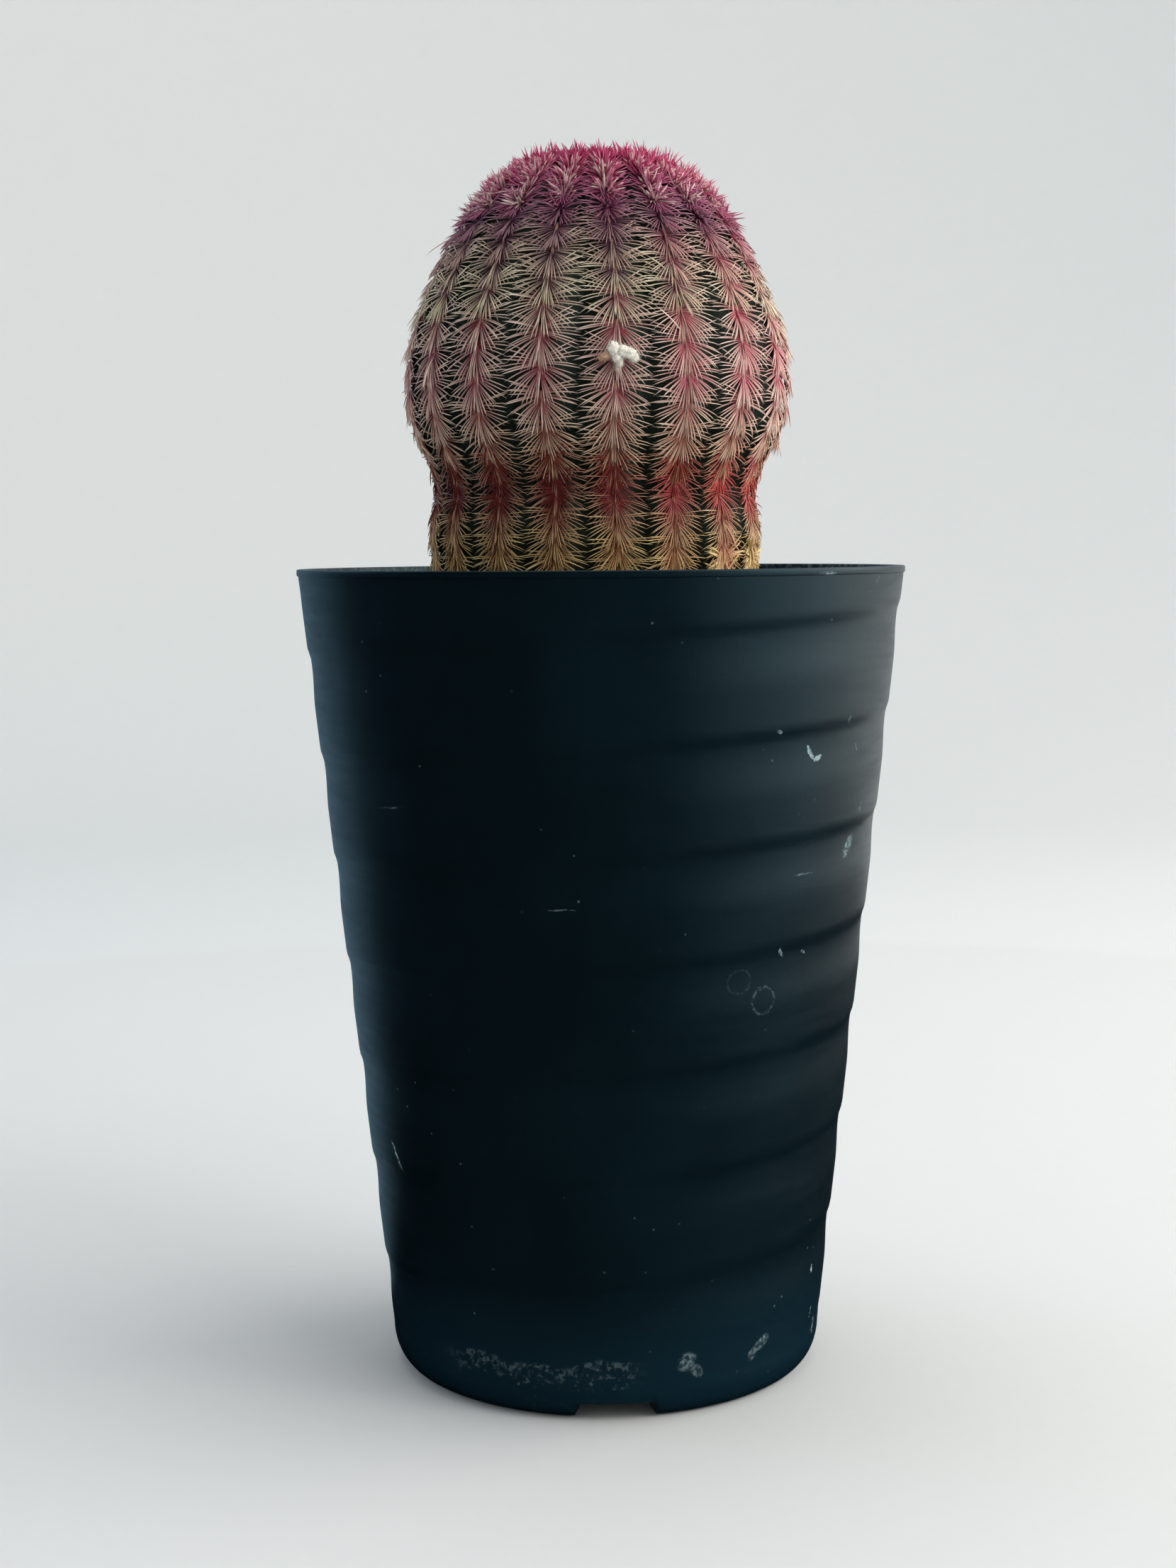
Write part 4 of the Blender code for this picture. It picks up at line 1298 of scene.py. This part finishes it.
def make_felt(plant):
    """The felt cushions of all the areoles, each with a few loose hairs."""
    random = Random(400)
    corners, faces = pebble_shape(2)
    parts = []
    for rib in range(plant.ribs):
        for distance in areole_distances(rib):
            areole = areole_at(rib, distance, plant.ribs)
            half = np.array([FELT_HALF_WIDTH, FELT_HALF_HEIGHT, FELT_RISE]) * areole.size
            axes = np.stack([areole.across, areole.up, areole.out])
            shape = (lumpy(corners, 0.25, 2, distance * 999, rib, 0) * half) @ axes + areole.middle
            parts.append((shape, faces))
            chosen = [random.randrange(len(corners)) for _ in range(FELT_HAIRS)]
            normals = corners[chosen] @ axes + areole.out * 0.8
            parts.append(hairs(shape[chosen], normals, FELT_HAIR_LENGTH, FELT_HAIR_RADIUS, random))
    vertices, polygons = join_parts(parts)
    return add_piece("areole_felt", vertices, polygons, areole_felt_wool(plant))


# Wool tuft. Each lobe has its place across, up and out from the middle of the tuft's solid, its half width
# and half height, all in millimetres, and its age.
WOOL_LOBES = (
    (-0.80, 0.85, 0.35, 0.80, 1.00, 0.0),
    (0.60, 0.45, 0.10, 1.05, 0.85, 0.0),
    (1.65, 0.15, 0.05, 1.00, 0.78, 0.0),
    (2.40, -0.45, -0.20, 0.62, 0.62, 0.0),
    (-0.35, -0.30, 0.05, 0.72, 0.85, 0.0),
    (0.10, -1.05, -0.15, 0.50, 0.80, 0.1),
    (-0.15, -1.75, -0.35, 0.28, 0.62, 0.3),
    (-1.95, -0.15, -0.55, 0.80, 0.50, 0.9),
    (-2.45, -0.45, -0.75, 0.60, 0.35, 1.0),
)
WOOL_DEPTH = 0.95
WOOL_HAIRS = 2300
WOOL_HAIR_LENGTH = 0.55 * MM
WOOL_HAIR_RADIUS = 0.022 * MM


def make_wool_piece(plant):
    """The wool tuft: soft lobes under a coat of crimped hairs."""
    random = Random(500)
    corners, faces = pebble_shape(4)
    across, out = facing(FRONT_RIB_ANGLE)
    axes = np.stack([across, np.array([0, 0, 1.0]), out])
    middle = np.array((WOOL_LOW + WOOL_HIGH) / 2)
    parts, ages = [], []
    for x, y, z, half_width, half_height, age in WOOL_LOBES:
        half = np.array([half_width, half_height, min(half_width, WOOL_DEPTH)])
        shape = (lumpy(corners, 0.30, 2.2, x, y, 0) * half + np.array([x, y, z])) * MM @ axes + middle
        parts.append((shape, faces))
        ages += [age] * len(corners)
    seats, normals = join_parts(parts)[0], np.tile(corners @ axes, (len(parts), 1))
    chosen = [random.randrange(len(seats)) for _ in range(WOOL_HAIRS)]
    parts.append(hairs(seats[chosen], normals[chosen], WOOL_HAIR_LENGTH, WOOL_HAIR_RADIUS, random, 4, 0.8))
    vertices, polygons = join_parts(parts)
    each = (len(vertices) - len(ages)) // WOOL_HAIRS
    tones = np.concatenate([ages, np.repeat(np.array(ages)[chosen], each)])
    return add_piece("wool_lobes", vertices, polygons, plant_wool(plant), {"tone": tones})


# The stage: a round floor that sweeps up into a wall, and the velvet and card that only gloss sees. The card
# ends where the hung velvet starts.
STAGE_SIDES = 128
STAGE_FLAT = 0.75
STAGE_CURVE = 0.55
STAGE_WALL = 2.4
STAGE_STEPS = 16
CARD_START = math.radians(-262)
VELVET_START = math.radians(-207)
VELVET_END = math.radians(-52)
CARD_NEAR = 0.042
CARD_SHARE = 0.9
CARD_LIFT = 2 * MM
LAID_NEAR = 0.0332
LAID_FAR = 0.42
LAID_LIFT = 0.3 * MM
CAMERA_PLACE = (0.0, -391.8 * MM, 136.9 * MM)
CAMERA_PITCH = math.radians(-5.83)
CAMERA_TURN = math.radians(0.343)
CAMERA_ROLL = math.radians(-0.434)


def swept_sheet(angles, inner, closed):
    """Rings of a flat floor that sweeps up into a wall, with the faces between them."""
    rings = [circle(radius, angles, 0) for radius in np.linspace(inner, STAGE_FLAT, 5)]
    for turn in np.linspace(0, math.pi / 2, STAGE_STEPS + 1)[1:]:
        radius, height = STAGE_FLAT + STAGE_CURVE * math.sin(turn), STAGE_CURVE * (1 - math.cos(turn))
        rings.append(circle(radius, angles, height))
    rings.append(circle(STAGE_FLAT + STAGE_CURVE, angles, STAGE_WALL))
    sides = len(angles)
    faces = ring_faces(len(rings), sides)
    if not closed:
        faces = [face for i, face in enumerate(faces) if i % sides != sides - 1]
    return np.concatenate(rings), [face[::-1] for face in faces]


def make_backdrop(stage):
    """A round floor that sweeps up into a wall on every side."""
    points, faces = swept_sheet(round_angles(STAGE_SIDES), STAGE_FLAT / 5, closed=True)
    faces += [(i, (i + 1) % STAGE_SIDES, len(points)) for i in range(STAGE_SIDES)]
    add_piece("backdrop", np.concatenate([points, [[0, 0, 0]]]), faces, matt_board(stage))


def make_cards(stage):
    """Velvet hung and laid round the pot, and a blue card at its left, that only the plastic's gloss sees."""
    velvet = black_velvet()
    cards = []
    hung = ("hung_velvet", VELVET_START, VELVET_END, velvet)
    for name, start, end, material in (hung, ("blue_card", CARD_START, VELVET_START, blue_card(stage))):
        angles = np.linspace(start, end, STAGE_SIDES // 2)
        points, faces = swept_sheet(angles, CARD_NEAR, closed=False)
        cards.append(add_piece(name, points * CARD_SHARE + np.array([0, 0, CARD_LIFT]), faces, material))
    rings = [circle(radius, round_angles(STAGE_SIDES), LAID_LIFT) for radius in (LAID_NEAR, LAID_FAR)]
    cards.append(add_piece("laid_velvet", np.concatenate(rings), ring_faces(2, STAGE_SIDES), velvet))
    for card in cards:
        card.visible_camera = card.visible_diffuse = card.visible_shadow = card.visible_transmission = False


def add_lamp(name, power, colour, place, size, aim=(0, 0, 0.12), spread=180):
    """A flat lamp that the camera doesn't see, turned to the place it is aimed at."""
    data = bpy.data.lights.new(name, "AREA")
    data.shape = "RECTANGLE"
    data.size, data.size_y = size
    data.energy = power
    data.spread = math.radians(spread)
    data.color = linear(colour)
    lamp = bpy.data.objects.new(name, data)
    lamp.location = place
    lamp.rotation_euler = (Vector(aim) - Vector(place)).to_track_quat("-Z", "Y").to_euler()
    lamp.visible_camera = False
    bpy.context.scene.collection.objects.link(lamp)


def make_lamps(stage):
    """A large soft window on the right, a weak lamp on the left, one high in front and one overhead."""
    add_lamp("window", stage.window, "#FFFCF6", (0.9, 0.0, 0.45), (1.2, 0.86), spread=150)
    add_lamp("left_fill", stage.fill, "#A9CBFF", (-0.95, 0.30, 0.50), (0.6, 0.8), spread=130)
    add_lamp("front", stage.front, "#FFFBF6", (0.7, -0.6, 0.85), (0.7, 0.5))
    add_lamp("overhead", stage.top, "#FFFFFF", (0.0, 0.3, 1.5), (1.0, 1.0), aim=(0, 0.75, 0.1))
    world = bpy.data.worlds.new("soft_room")
    world.use_nodes = True
    connect(world.node_tree.nodes["Background"], {"Color": "#DCE3E8", "Strength": stage.room})
    bpy.context.scene.world = world


def make_camera(stage):
    """The camera at the photograph's viewing angle."""
    data = bpy.data.cameras.new("photograph")
    data.sensor_width = 36
    data.lens = stage.lens
    data.clip_start, data.clip_end = 0.01, 10
    camera = bpy.data.objects.new("photograph", data)
    turn = Matrix.Rotation(CAMERA_TURN, 4, "Z") @ Matrix.Rotation(math.pi / 2 + CAMERA_PITCH, 4, "X")
    camera.matrix_world = Matrix.Translation(CAMERA_PLACE) @ turn @ Matrix.Rotation(CAMERA_ROLL, 4, "Z")
    bpy.context.scene.collection.objects.link(camera)
    bpy.context.scene.camera = camera


def settle(piece, node=None):
    """Fixes a finished piece to the object's one body, in place of a solid or beside it."""
    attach(piece, "root")
    if node:
        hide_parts(node)


class CACTUS_OT_stage(bpy.types.Operator):
    """Makes the floor, the lamps and the camera"""

    bl_idname = "cactus.stage"
    bl_label = "Stage"

    def execute(self, context):
        scene = context.scene
        make_backdrop(scene.stage)
        make_cards(scene.stage)
        make_lamps(scene.stage)
        make_camera(scene.stage)
        scene.view_settings.view_transform = "Standard"
        return {"FINISHED"}


class CACTUS_OT_pot(bpy.types.Operator):
    """Makes the moulded nursery pot"""

    bl_idname = "cactus.pot"
    bl_label = "Nursery pot"

    def execute(self, context):
        settle(make_pot_piece(context.scene.pot), "pot")
        return {"FINISHED"}


class CACTUS_OT_soil(bpy.types.Operator):
    """Makes the potting mix and its loose grains"""

    bl_idname = "cactus.soil"
    bl_label = "Potting mix"

    def execute(self, context):
        scene = context.scene
        settle(make_soil_piece(scene.pot, scene.soil), "soil")
        settle(make_grains(scene.pot, scene.soil))
        return {"FINISHED"}


class CACTUS_OT_stem(bpy.types.Operator):
    """Makes the ribbed stem and the felt of its areoles"""

    bl_idname = "cactus.stem"
    bl_label = "Stem and felt"

    def execute(self, context):
        plant = context.scene.plant
        settle(make_stem(plant), "cactus")
        settle(make_felt(plant))
        return {"FINISHED"}


class CACTUS_OT_spines(bpy.types.Operator):
    """Makes the combs of spines, one piece for each rib, and the bristles of the crown"""

    bl_idname = "cactus.spines"
    bl_label = "Spines"

    def execute(self, context):
        plant = context.scene.plant
        material = horny_spine()
        for rib in range(plant.ribs):
            spines = rib_spines(rib, plant)
            settle(make_spine_piece(f"spines_rib_{rib + 1:02d}", spines, material))
        settle(make_spine_piece("spines_crown", apex_spines(plant), material))
        return {"FINISHED"}


class CACTUS_OT_wool(bpy.types.Operator):
    """Makes the woolly tuft on the front rib"""

    bl_idname = "cactus.wool"
    bl_label = "Wool tuft"

    def execute(self, context):
        settle(make_wool_piece(context.scene.plant), "wool_tuft")
        return {"FINISHED"}


class CACTUS_PT_panel(bpy.types.Panel):
    """Lists the cactus's sizes and the steps that make it"""

    bl_label = "Potted cactus"
    bl_idname = "CACTUS_PT_panel"
    bl_space_type = "VIEW_3D"
    bl_region_type = "UI"
    bl_category = "Cactus"

    def draw(self, context):
        for group in (context.scene.pot, context.scene.soil, context.scene.plant, context.scene.stage):
            for name in group.__annotations__:
                self.layout.prop(group, name)
        for operator in OPERATORS:
            self.layout.operator(operator.bl_idname)


OPERATORS = (CACTUS_OT_stage, CACTUS_OT_pot, CACTUS_OT_soil, CACTUS_OT_stem, CACTUS_OT_spines, CACTUS_OT_wool)
GROUPS = {"pot": PotSettings, "soil": SoilSettings, "plant": PlantSettings, "stage": StageSettings}


def register():
    for made in (*GROUPS.values(), *OPERATORS, CACTUS_PT_panel):
        bpy.utils.register_class(made)
    for name, group in GROUPS.items():
        setattr(bpy.types.Scene, name, PointerProperty(type=group))


def unregister():
    for name in GROUPS:
        delattr(bpy.types.Scene, name)
    for made in reversed((*GROUPS.values(), *OPERATORS, CACTUS_PT_panel)):
        bpy.utils.unregister_class(made)


def main():
    register()
    bpy.ops.cactus.stage()
    bpy.ops.cactus.pot()
    bpy.ops.cactus.soil()
    bpy.ops.cactus.stem()
    bpy.ops.cactus.spines()
    bpy.ops.cactus.wool()


if __name__ == "__main__":
    main()
